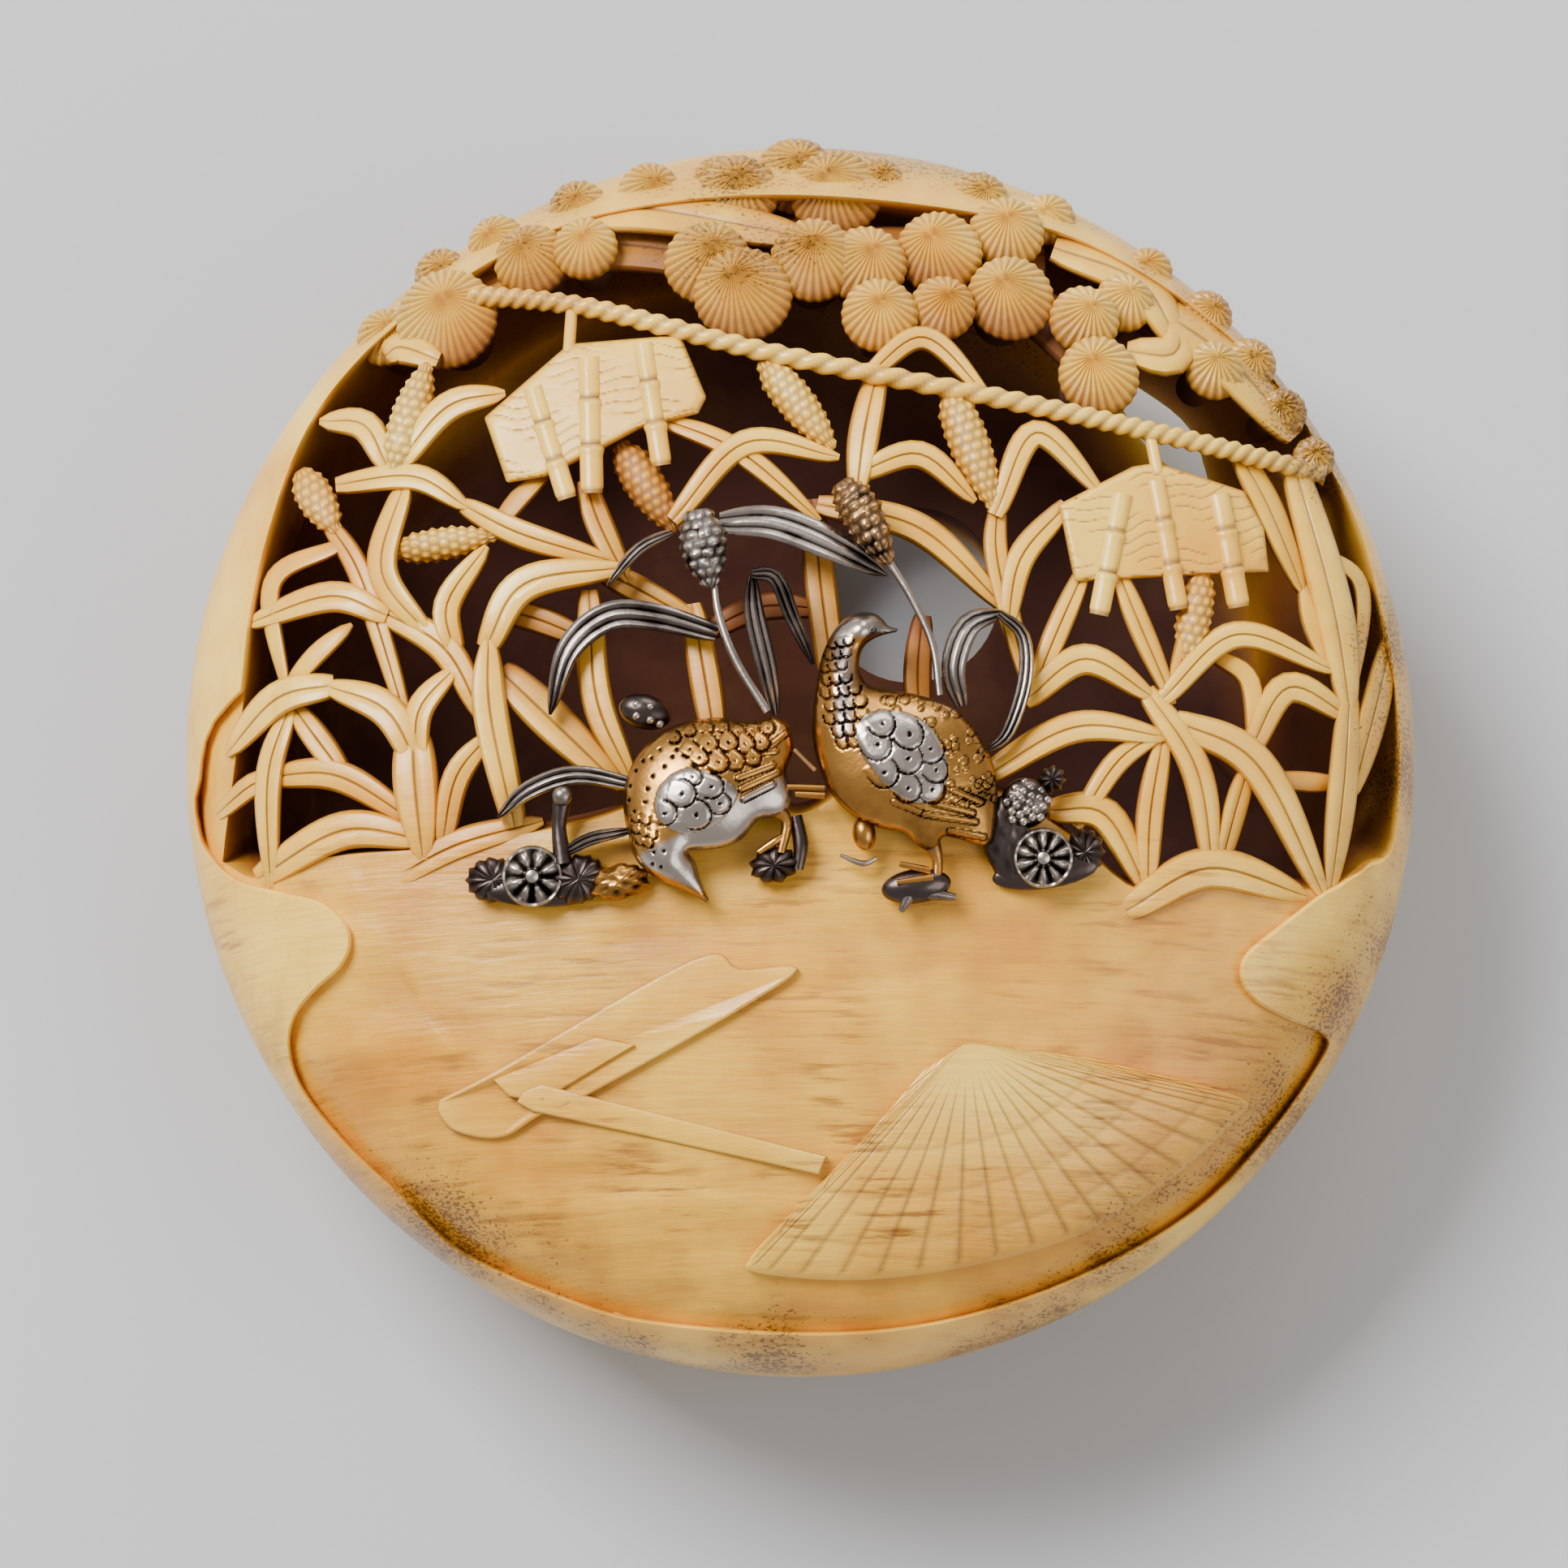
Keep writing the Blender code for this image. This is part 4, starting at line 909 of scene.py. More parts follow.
# Rattle boards on their rope, with the canes that strike them.
rattle = {
    "rope": [(-13.3, 16.9), (-8.0, 16.3), (-1.0, 14.5), (8.0, 12.7), (14.0, 11.4), (19.2, 10.2)],
    "ropeRadius": 0.35,
    "ropeTwists": 52,
    "boards": [
        [(-11.45, 12.2), (-8.4, 14.9), (-4.35, 15.2), (-3.4, 12.9), (-3.7, 12.3), (-5.8, 11.75),
         (-7.0, 11.1), (-9.2, 10.0), (-10.6, 9.8)],
        [(9.3, 9.0), (12.0, 10.4), (12.9, 10.55), (16.1, 9.55), (16.8, 8.2), (16.95, 6.6), (9.85, 6.2)],
    ],
    "canes": [
        ((-9.7, 13.3), (-8.4, 9.2), 0.38), ((-7.65, 14.4), (-7.5, 9.4), 0.42), ((-5.7, 14.9), (-5.0, 10.4), 0.38),
        ((11.6, 9.4), (10.7, 5.0), 0.38), ((12.8, 9.9), (13.6, 5.2), 0.36), ((15.1, 9.4), (15.8, 5.3), 0.42),
    ],
    "grain": 0.42,
    "ties": [((-8.3, 16.4), (-8.4, 14.6)), ((12.6, 11.9), (12.9, 10.2))],
}


def ropeRelief(share, turn):
    # the grooves of the twist are darkened with stain and painted shade
    strand = math.cos(2 * turn + 2 * math.pi * rattle["ropeTwists"] * share)
    return 0.05 * strand, clamp(-strand * 0.8)


def caneRelief(share, turn):
    # a ring at each joint of the cane, its grooves darkened with stain and painted shade
    joint = max(math.exp(-((share - place) / 0.035) ** 2) for place in (0.34, 0.68))
    groove = max(math.exp(-((share - place) / 0.02) ** 2) for place in (0.30, 0.64, 0.99))
    return 0.06 * joint - 0.05 * groove, clamp(groove)


def straightPath(points, spacing=0.06):
    path = []
    for k, point in enumerate(points):
        start, end = Vector(point), Vector(points[(k + 1) % len(points)])
        steps = max(1, round((end - start).length / spacing))
        path += [start + (end - start) * (s / steps) for s in range(steps)]
    return path


def boardShape(u, v, inside):
    # a flat board with its edges taken off and the grain of the wood cut in
    height = np.minimum(swelling(inside, 0.06, 500) * 0.45, 0.24)
    wave = 0.12 * np.sin(1.9 * u + 0.6 * v) + 0.07 * np.sin(4.3 * u + 1.7)
    grain = np.clip(np.cos(2 * math.pi * (v - 0.16 * u + wave) / rattle["grain"]) * 8 - 6.9, 0, 1)
    grain = grain * np.clip(2.4 * np.sin(1.3 * u + 2.2 * v) + 1.6, 0, 1)
    return height - 0.035 * grain, {"stain": 0.75 * grain}


def buildRattle():
    bm = newCarving()
    carveTube(bm, rattle["rope"], (rattle["ropeRadius"],) * 2, 0.2, sides=16, spacing=0.09, shape=ropeRelief)
    for board in rattle["boards"]:
        carveSheet(bm, straightPath(board), 0.06, boardShape, 0.75, -1.1)
    for top, foot, radius in rattle["canes"]:
        carveTube(bm, (top, foot), (radius, radius), 0.25, sides=20, spacing=0.1, shape=caneRelief)
    for top, foot in rattle["ties"]:
        carveTube(bm, (top, foot), (0.22, 0.22), 0.3, sides=12)
    return finishPiece(bm, "rattleBoards", [ivoryMaterial], "ivory_body")


buildRattle()
print("boards and rope carved")

# Hoe and straw hat, lying on the ground in low relief.
tools = {
    "hoeBlade": [(-13.0, -12.7), (-12.9, -12.35), (-10.8, -11.25), (-3.8, -7.3), (-2.2, -7.65), (-0.3, -7.9),
                 (-7.3, -12.0), (-9.3, -12.9), (-10.4, -13.6), (-11.4, -13.7), (-12.5, -13.4)],
    "hoeSocket": [(-10.95, -11.6), (-7.3, -10.05), (-5.9, -10.35), (-9.2, -12.4), (-10.4, -12.2)],
    "handle": [(-9.9, -12.0), (-9.2, -11.75), (0.9, -14.3), (0.65, -14.95), (-9.5, -12.75), (-10.1, -12.4)],
    "hatTip": (5.9, -10.25),
    "hatRim": [(4.4, -11.2), (2.2, -13.7), (0.0, -16.0), (-1.75, -17.9), (-1.5, -18.5), (2.2, -18.75), (6.4, -18.2),
               (10.2, -17.1), (13.2, -15.3), (15.6, -13.2), (15.9, -12.4), (12.6, -11.4), (8.5, -10.6)],
    "hatLines": 38,
}


def buildTools():
    bm = newCarving()
    ground = bun["groundSink"]
    for name, stand in (("hoeBlade", 0.33), ("hoeSocket", 0.40), ("handle", 0.46)):
        outline = [tuple(spot) for spot in closedPath(tools[name], 0.3)] if name == "hoeBlade" else tools[name]
        carveSlab(bm, outline, ground - stand, stand + 0.5, chamfer=0.07)
    rim = through(tools["hatRim"] + [tools["hatRim"][0]], 0.1)[:-1]
    tip = Vector(tools["hatTip"])
    layer = bm.verts.layers.float["stain"]
    rings, marks = [], []
    for share, stand in ((1.0, -0.5), (1.0, 0.22), (0.985, 0.30), (0.96, 0.33), (0.86, 0.36), (0.84, 0.33), (0.82, 0.36),
                         (0.66, 0.42), (0.64, 0.39), (0.62, 0.42), (0.46, 0.475), (0.44, 0.45), (0.42, 0.48), (0.25, 0.50),
                         (0.10, 0.5)):
        ring, mark = [], []
        for k, spot in enumerate(rim):
            line = (0.5 + 0.5 * math.cos(2 * math.pi * tools["hatLines"] * k / len(rim))) ** 12
            cut = 0.035 * line if 0.15 < share < 0.97 else 0.0
            moved = tip + (spot - tip) * share
            ring.append(onFront(moved.x, moved.y, ground - stand + cut))
            # the incised lines and rings take stain; the ring under the ground, at the brim's foot, is darkened as
            # painted shade
            arc = 0.3 if share in (0.84, 0.64, 0.44) else 0.0
            mark.append(max(0.6 * line, arc) if 0.15 < share < 0.97 else (0.7 if stand < 0 else 0.0))
        rings.append(ring)
        marks.append(mark)
    for row, mark in zip(addRings(bm, rings, [0.0] * len(rim)), marks):
        for vert, value in zip(row, mark):
            vert[layer] = value
    return finishPiece(bm, "hoeAndHat", [ivoryMaterial], "ivory_body")


buildTools()
print("hoe and hat carved")

# Metal ornaments

def castLump(bm, lump, tone=1.0, relief=None, sides=36, rows=18):
    angle = math.radians(lump["turn"])
    along = right * math.cos(angle) + up * math.sin(angle)
    across = up * math.cos(angle) - right * math.sin(angle)
    base = onFront(*lump["at"], -lump.get("lift", 0.0))
    layer = bm.verts.layers.float["stain"]
    before = len(bm.verts)
    rings, marks = [], []
    for r in range(1, rows):
        polar = math.pi * r / rows
        ring, mark = [], []
        for s in range(sides):
            turn = 2 * math.pi * s / sides
            a, b, c = math.sin(polar) * math.cos(turn), math.sin(polar) * math.sin(turn), math.cos(polar)
            extra, stain = relief(a, b, c) if relief else (0.0, 0.0)
            size = 1 + extra
            ring.append(base + (along * (a * lump["long"] * size) + across * (b * lump["wide"] * size)
                                + out * (c * lump["rise"] * size)) * mm)
            mark.append(stain)
        rings.append(ring)
        marks.append(mark)
    for row, mark in zip(addRings(bm, rings, [0.0] * sides), marks):
        for vert, value in zip(row, mark):
            vert[layer] = value
    setTone(bm, before, tone)


def setTone(bm, before, tone):
    # 0 is gilt, 1 is silver, 2 is silver left dark
    layer = bm.verts.layers.float["tone"]
    bm.verts.ensure_lookup_table()
    for vert in bm.verts[before:]:
        vert[layer] = tone


def stampFeather(sheet, feather, heading, long=1.1, stand=0.09, dot=True):
    # a feather with a round free edge, lying over the ones stamped before it
    at, high, size = feather
    angle = math.radians(heading)
    du, dv = sheet["u"] - at, sheet["v"] - high
    along = (du * math.cos(angle) + dv * math.sin(angle)) / long
    across = -du * math.sin(angle) + dv * math.cos(angle)
    far = np.hypot(np.maximum(along, 0.0), across) / size
    root = along > -size * 0.9
    body = (far < 1.0) & root
    rim = (far >= 1.0) & (far < 1.0 + 0.075 / size) & (along > -0.35 * size)
    rise = stand * (0.35 + 0.65 * np.clip((along + size) / (2 * size), 0, 1)) * np.clip((1 - far) * 6, 0.35, 1)
    sheet["detail"] = np.where(body, rise, np.where(rim, -0.03, sheet["detail"]))
    sheet["stain"] = np.where(body, 0.0, np.where(rim, 0.95, sheet["stain"]))
    if dot:
        stampDot(sheet, at + 0.1 * size, high - 0.05 * size, size * 0.17)


def stampDot(sheet, at, high, size):
    far = np.hypot(sheet["u"] - at, sheet["v"] - high) / size
    sheet["detail"] = np.where(far < 1, sheet["detail"] - 0.05, sheet["detail"])
    sheet["stain"] = np.where(far < 1, 1.0, sheet["stain"])


def stampBead(sheet, at, high, size, stand=0.07):
    far = np.hypot(sheet["u"] - at, sheet["v"] - high) / size
    sheet["detail"] = np.where(far < 1, stand * np.sqrt(np.clip(1 - far * far, 0, 1)), sheet["detail"])
    sheet["stain"] = np.where(far < 0.85, 0.0, np.where(far < 1.15, 0.8, sheet["stain"]))


def stampBar(sheet, start, end, width, stand):
    # a straight quill, rounded across, with a dark line beside it
    a, b = Vector(start), Vector(end)
    step = b - a
    share = np.clip(((sheet["u"] - a.x) * step.x + (sheet["v"] - a.y) * step.y) / step.length_squared, 0, 1)
    far = np.hypot(sheet["u"] - a.x - share * step.x, sheet["v"] - a.y - share * step.y) / width
    sheet["detail"] = np.where(far < 1, stand * np.sqrt(np.clip(1 - far * far, 0, 1)), sheet["detail"])
    sheet["stain"] = np.where(far < 0.8, 0.0, np.where(far < 1.25, 0.85, sheet["stain"]))


def castBird(bm, bird, chase):
    # a bird swollen from its outline, its wing raised, and chased

    def shape(u, v, inside):
        height = bird["fullness"] * swelling(inside, bird["spacing"])
        for at, high, size, rise in bird["muscles"]:
            height += rise * np.exp(-((u - at) ** 2 + (v - high) ** 2) / size ** 2) * np.clip(height * 3, 0, 1)
        sheet = {"u": u, "v": v, "detail": np.zeros(u.shape), "stain": np.zeros(u.shape), "tone": np.zeros(u.shape)}
        wing = insideOf(closedPath(bird["wing"]), u, v)
        chase(sheet, wing)
        tone = np.where(wing, 1.0, sheet["tone"])
        height += bird["wingRise"] * np.clip(swelling(wing, bird["spacing"], 500), 0, 0.5)
        height += sheet["detail"] * np.clip(height * 2.5, 0, 1)
        return height, {"stain": sheet["stain"], "tone": tone}

    carveSheet(bm, closedPath(bird["outline"]), bird["spacing"], shape, bird["wall"], bird["lift"])


def castFlower(bm, at, radius, petals, lift, tone=1.0):
    # a chrysanthemum from above: a boss, petals cut apart, and a plain edge
    middle = onFront(*at, -lift)
    layer = bm.verts.layers.float["stain"]
    before = len(bm.verts)
    sides = petals * 8
    profile = [(0.8, -0.5, 0), (1.0, -0.2, 0), (1.02, 0.05, 0), (0.97, 0.22, 0), (0.9, 0.24, 0.3), (0.84, 0.16, 0.8),
               (0.78, 0.22, 1), (0.62, 0.34, 1), (0.42, 0.33, 1), (0.30, 0.20, 0.6), (0.26, 0.20, 0), (0.2, 0.42, 0),
               (0.08, 0.48, 0)]
    rings, marks = [], []
    for reach, height, cut in profile:
        ring, mark = [], []
        for s in range(sides):
            turn = 2 * math.pi * s / sides
            valley = abs(math.cos(turn * petals / 2)) ** 3
            ring.append(middle + (right * math.cos(turn) + up * math.sin(turn)) * (radius * reach * mm)
                        + out * ((height - 0.22 * cut * valley) * mm))
            # dark between the petals and round the boss as patina in the cuts; the underside is darkened as painted
            # shade
            mark.append(clamp(cut * valley + (0.7 if 0.24 < reach < 0.31 else 0) + (0.8 if height < 0 else 0)))
        rings.append(ring)
        marks.append(mark)
    for row, mark in zip(addRings(bm, rings, [0.0] * sides), marks):
        for vert, value in zip(row, mark):
            vert[layer] = value
    setTone(bm, before, tone)


def castTube(bm, points, radii, lift, tone=1.0, **more):
    before = len(bm.verts)
    carveTube(bm, points, radii, 0.0, lift=lift, **more)
    setTone(bm, before, tone)


def castLeaf(bm, points, width, lift, tone=1.0, depth=0.5, **more):
    before = len(bm.verts)
    carveLeaf(bm, points, width, 0.0, depth=depth, lift=lift, dip=0.1, section=metalSection, **more)
    setTone(bm, before, tone)


def fanRelief(count, height):
    def relief(a, b, c):
        wave = 0.5 + 0.5 * math.cos(count * math.atan2(b, a))
        return height * (wave - 0.5) * clamp(1.4 - c), clamp(0.8 - wave)
    return relief


def beadRelief(count, height):
    def relief(a, b, c):
        wave = math.sin(count * a) * math.sin(count * b) * 0.5 + 0.5
        return height * (wave - 0.4), clamp(0.7 - 1.3 * wave)
    return relief


leftQuail = {
    "outline": [
        (-0.28, 0.55), (-0.45, 1.05), (-0.95, 1.32), (-1.6, 1.16), (-2.3, 1.2), (-3.0, 1.3), (-3.8, 1.2),
        (-4.6, 0.95), (-5.2, 0.6), (-5.7, 0.1), (-6.1, -0.6), (-6.3, -1.4), (-6.28, -2.2), (-6.12, -2.9),
        (-6.0, -3.5), (-5.6, -4.05), (-5.0, -4.5), (-4.3, -4.78), (-3.65, -5.1), (-3.2, -5.35), (-3.4, -4.9),
        (-3.6, -4.35), (-3.75, -3.85), (-4.0, -3.45), (-3.5, -3.42), (-2.9, -3.35), (-2.2, -3.1),
        (-1.8, -2.7), (-1.5, -2.35), (-1.0, -2.25), (-0.6, -2.1), (-0.35, -1.7), (-0.38, -1.1), (-0.5, -0.6),
        (-0.33, -0.1), (-0.25, 0.25),
    ],
    "wing": [
        (-5.15, -1.9), (-5.0, -1.2), (-4.5, -0.7), (-3.9, -0.52), (-3.2, -0.7), (-2.65, -0.95), (-2.25, -1.4),
        (-2.5, -2.0), (-3.0, -2.45), (-3.6, -2.75), (-4.3, -2.78), (-4.9, -2.45),
    ],
    "muscles": [(-3.7, -1.0, 2.0, 0.28), (-4.7, -3.9, 0.8, 0.35), (-5.5, -2.9, 0.8, 0.2)],
    "fullness": 0.72, "wingRise": 0.3, "wall": 0.45, "lift": 0.06, "spacing": 0.05,
    "cups": [
        (-1.2, 0.95, 0.25), (-1.75, 0.85, 0.24), (-2.25, 0.8, 0.24), (-2.8, 1.0, 0.22), (-3.35, 0.95, 0.22),
        (-3.95, 0.85, 0.2), (-4.5, 0.6, 0.2), (-1.45, 0.42, 0.3), (-2.0, 0.35, 0.32), (-2.6, 0.42, 0.32),
        (-3.3, 0.38, 0.32), (-3.95, 0.18, 0.28), (-1.7, -0.15, 0.26), (-2.35, -0.25, 0.32), (-2.95, -0.3, 0.34),
        (-3.6, -0.12, 0.28),
    ],
    "dots": [
        (-4.55, -0.1), (-4.82, -0.45), (-5.25, -0.8), (-5.42, -1.25), (-5.52, -1.72), (-5.85, -0.6), (-6.05, -1.15),
        (-6.1, -1.65), (-5.3, -0.15), (-5.0, 0.15), (-5.6, -0.25), (-5.2, -3.5), (-4.85, -3.45), (-5.25, -3.9),
        (-4.4, 0.15), (-5.9, -2.05), (-4.95, -4.0),
    ],
    "nape": [(-5.85, -2.25), (-5.5, -2.35), (-5.85, -2.65), (-5.55, -2.75), (-5.25, -2.85), (-5.7, -3.05), (-5.4, -3.15)],
    "coverts": [
        (-2.9, -1.75, 0.36), (-3.2, -1.15, 0.4), (-3.75, -2.15, 0.5), (-3.85, -0.8, 0.3), (-4.25, -1.4, 0.46),
        (-4.85, -2.1, 0.4),
    ],
    "quills": [((-2.2, -0.85), (-1.0, -0.4)), ((-2.1, -1.25), (-0.8, -0.65)), ((-2.0, -1.6), (-1.0, -1.1)),
               ((-1.9, 0.0), (-0.9, 0.1)), ((-1.2, 0.2), (-0.5, 0.75))],
}
rightQuail = {
    "outline": [
        (3.6, 4.42), (3.15, 4.55), (2.92, 4.82), (2.6, 5.02), (2.1, 5.05), (1.6, 4.85), (1.2, 4.42),
        (0.92, 3.9), (0.7, 3.3), (0.55, 2.5), (0.45, 1.6), (0.42, 0.8), (0.5, 0.1), (0.7, -0.6), (1.0, -1.3),
        (1.5, -1.9), (2.1, -2.35), (2.9, -2.65), (3.6, -2.8), (4.1, -3.2), (4.45, -3.42), (4.85, -3.35),
        (5.05, -2.95), (5.5, -3.0), (6.2, -3.2), (6.65, -3.22), (6.85, -2.8), (6.95, -2.0), (7.0, -1.2),
        (6.85, -0.4), (6.6, 0.2), (6.2, 0.9), (5.6, 1.5), (5.0, 1.85), (4.2, 2.1), (3.4, 2.25), (2.65, 2.35),
        (2.3, 2.55), (2.12, 2.9), (2.08, 3.3), (2.2, 3.75), (2.5, 4.05), (2.95, 4.25),
    ],
    "wing": [
        (1.95, 0.7), (2.1, 1.2), (2.6, 1.5), (3.3, 1.52), (4.0, 1.35), (4.6, 0.92), (5.0, 0.3), (5.2, -0.4),
        (5.12, -1.1), (4.8, -1.6), (4.2, -1.78), (3.6, -1.55), (3.1, -1.2), (2.6, -0.6), (2.15, 0.05),
    ],
    "muscles": [(3.2, 0.0, 2.2, 0.3), (2.2, 4.5, 0.6, 0.42), (1.4, 3.0, 0.7, 0.42), (1.5, 1.2, 0.9, 0.25)],
    "fullness": 0.70, "wingRise": 0.3, "wall": 0.45, "lift": 0.06, "spacing": 0.05,
    "breast": [(1.15, 3.95), (0.95, 3.55), (0.85, 3.1), (0.85, 2.65), (0.9, 2.2), (0.95, 1.75), (1.05, 1.3), (1.25, 0.85),
               (1.5, 0.45)],
    "coverts": [
        (4.6, -1.25, 0.45), (4.75, -0.55, 0.42), (3.75, -1.2, 0.46), (4.55, 0.2, 0.48), (3.75, -0.15, 0.5),
        (2.9, -0.65, 0.5), (3.8, 0.72, 0.5), (2.65, 0.35, 0.52), (2.85, 1.1, 0.44),
    ],
    "quills": [((4.7, -1.75), (6.1, -2.1)), ((3.3, -1.7), (4.4, -2.15)), ((4.4, -2.15), (6.2, -2.42)),
               ((5.4, -1.3), (6.4, -1.7)), ((5.3, -2.75), (6.5, -2.95))],
    "eye": (2.55, 4.42),
    "beads": 150,
}


def chaseLeft(sheet, wing):
    for start, end in leftQuail["quills"]:
        stampBar(sheet, start, end, 0.13, 0.09)
    for cup in leftQuail["cups"]:
        stampFeather(sheet, cup, -35, stand=0.13, dot=True)
    for at, high in leftQuail["nape"]:
        stampFeather(sheet, (at, high, 0.15), -60, stand=0.08, dot=False)
    sheet["stain"] = np.where(wing, 0.0, sheet["stain"])
    sheet["detail"] = np.where(wing, 0.0, sheet["detail"])
    for feather in leftQuail["coverts"]:
        stampFeather(sheet, feather, -12, stand=0.06)
    for at, high in leftQuail["dots"]:
        stampDot(sheet, at, high, 0.07)
    head = np.clip((-3.0 - sheet["v"] + 0.55 * (sheet["u"] + 5.0)) * 2.5, 0, 1)
    under = np.clip((-4.15 - sheet["v"] - 0.45 * (sheet["u"] + 5.0)) * 8, 0, 1)
    sheet["tone"] = head * (1 - under)


def chaseRight(sheet, wing):
    scatter = random.Random(11)
    for _ in range(rightQuail["beads"]):
        across = scatter.uniform(2.2, 6.9)
        high = scatter.uniform(-1.9, 2.3)
        if across - high * -0.55 > 3.2 + 0.8 * (across < 4.5):
            stampBead(sheet, across, high, scatter.uniform(0.1, 0.19))
    for start, end in rightQuail["quills"]:
        stampBar(sheet, start, end, 0.12, 0.08)
    for row, (at, high) in enumerate(reversed(rightQuail["breast"])):
        size = 0.23 - 0.009 * row
        for column in range(4 if row < 5 else 3):
            shift = 0.5 * size if row % 2 else 0.0
            stampFeather(sheet, (at + shift + column * 1.75 * size, high + 0.05 * column, size), -88, stand=0.09, dot=False)
    sheet["stain"] = np.where(wing, 0.0, sheet["stain"])
    sheet["detail"] = np.where(wing, 0.0, sheet["detail"])
    for feather in rightQuail["coverts"]:
        stampFeather(sheet, feather, -52, stand=0.06)
    stampBead(sheet, *rightQuail["eye"], 0.13, 0.06)
    stampDot(sheet, *rightQuail["eye"], 0.05)
    head = np.clip((sheet["v"] - 4.0) * 3, 0, 1)
    breast = np.clip(1 - np.abs(sheet["u"] - 1.5) * 1.6, 0, 1) * np.clip((sheet["v"] - 0.2) * 2, 0, 1)
    sheet["tone"] = np.maximum(head, 0.85 * breast)


def newCasting():
    bm = newCarving()
    bm.verts.layers.float.new("tone")
    return bm


def buildLeftOrnament():
    bm = newCasting()
    castBird(bm, leftQuail, chaseLeft)
    # leg and foot
    castTube(bm, ((-1.0, -1.9), (-0.5, -2.4), (-0.7, -3.5)), (0.3, 0.2, 0.16), 0.45, 0.0)
    castTube(bm, ((-1.5, -3.5), (-0.9, -3.1), (-0.6, -2.9)), (0.12, 0.16, 0.1), 0.5, 0.0)
    castTube(bm, ((-0.2, -2.2), (0.0, -3.2), (-0.1, -4.1)), (0.25, 0.28, 0.2), 0.15, 2.0)
    castLump(bm, {"at": (-0.95, -3.95), "long": 0.85, "wide": 0.62, "turn": 10, "rise": 0.45, "lift": 0.15}, 2.0,
             fanRelief(9, 0.2))
    for k in range(2):
        castTube(bm, ((-0.5 + 0.3 * k, -1.18 - 0.26 * k), (0.85, -1.22 - 0.26 * k)), (0.12, 0.12), 0.75, 0.0)
    castTube(bm, ((-0.25, 0.15), (0.5, -0.6)), (0.1, 0.1), 0.8, 0.3)
    # flowers and foliage at the bird's feet
    castFlower(bm, (-9.54, -4.35), 1.08, 8, 0.55)
    castLump(bm, {"at": (-10.95, -4.5), "long": 0.95, "wide": 0.8, "turn": 180, "rise": 0.5, "lift": 0.1}, 2.0,
             fanRelief(13, 0.16))
    castLump(bm, {"at": (-7.9, -4.45), "long": 1.0, "wide": 0.85, "turn": 20, "rise": 0.55, "lift": 0.1}, 2.0,
             fanRelief(14, 0.16))
    castLump(bm, {"at": (-6.45, -4.55), "long": 1.05, "wide": 0.62, "turn": 15, "rise": 0.6, "lift": 0.1}, 0.0,
             beadRelief(9, 0.22))
    castLump(bm, {"at": (-9.2, -4.9), "long": 2.0, "wide": 0.55, "turn": 0, "rise": 0.25, "lift": 0.08}, 2.0)
    castTube(bm, ((-8.5, -1.6), (-8.6, -2.6), (-8.45, -3.9)), (0.40, 0.26, 0.34), 0.45, 2.0)
    castLump(bm, {"at": (-8.48, -1.5), "long": 0.36, "wide": 0.36, "turn": 0, "rise": 0.36, "lift": 0.9}, 1.3)
    castLeaf(bm, ((-8.4, -3.5), (-7.4, -3.0), (-5.9, -2.7)), 0.45, 0.6, 1.3)
    castLeaf(bm, ((-5.9, -1.1), (-8.0, -0.75), (-9.7, -1.3), (-10.8, -2.3)), 0.66, 0.5, 1.3, tipShare=0.1)
    castLump(bm, {"at": (-5.55, 1.5), "long": 0.95, "wide": 0.62, "turn": -15, "rise": 0.6, "lift": 0.15}, 2.0)
    for at, high in ((-5.85, 1.75), (-5.35, 1.68), (-5.85, 1.35), (-5.35, 1.2), (-5.0, 1.05)):
        castLump(bm, {"at": (at, high), "long": 0.15, "wide": 0.15, "turn": 0, "rise": 0.14, "lift": 0.68}, 1.0,
                 sides=12, rows=8)
    # leaves and an ear of millet above it
    castLeaf(bm, ((-3.0, 4.3), (-5.2, 4.9), (-6.9, 4.9), (-8.3, 3.7), (-8.95, 1.4)), 0.98, 0.35, 1.6, tipShare=0.1)
    castTube(bm, ((-3.1, 6.2), (-2.9, 4.9), (-2.3, 3.3), (-1.2, 1.5)), (0.13, 0.15, 0.16), 0.65, 1.2)
    castLeaf(bm, ((-0.9, 1.4), (-1.2, 3.0), (-1.65, 5.0), (-1.75, 6.4)), 0.72, 0.45, 1.6, baseShare=0.4)
    castLeaf(bm, ((-1.75, 6.45), (-0.9, 6.3), (-0.3, 4.9), (0.45, 3.2)), 0.55, 0.6, 1.6)
    castTube(bm, ((-3.7, 8.75), (-3.2, 5.95)), (0.45, 0.8, 0.86, 0.66, 0.2), 0.75, 1.0, sides=40, spacing=0.07,
             shape=grainRelief(8, 9, 0.12))
    castLeaf(bm, ((-4.6, 7.95), (-5.8, 7.35), (-6.95, 6.0)), 0.42, 0.45, 1.0, tipShare=0.1)
    castLeaf(bm, ((-2.9, 8.3), (-1.0, 8.3), (1.0, 7.55), (3.1, 6.4)), 1.15, 0.5, 1.3, tipShare=0.1)
    return finishPiece(bm, "quailOrnamentLeft", [metal], "quail_ornament_left")


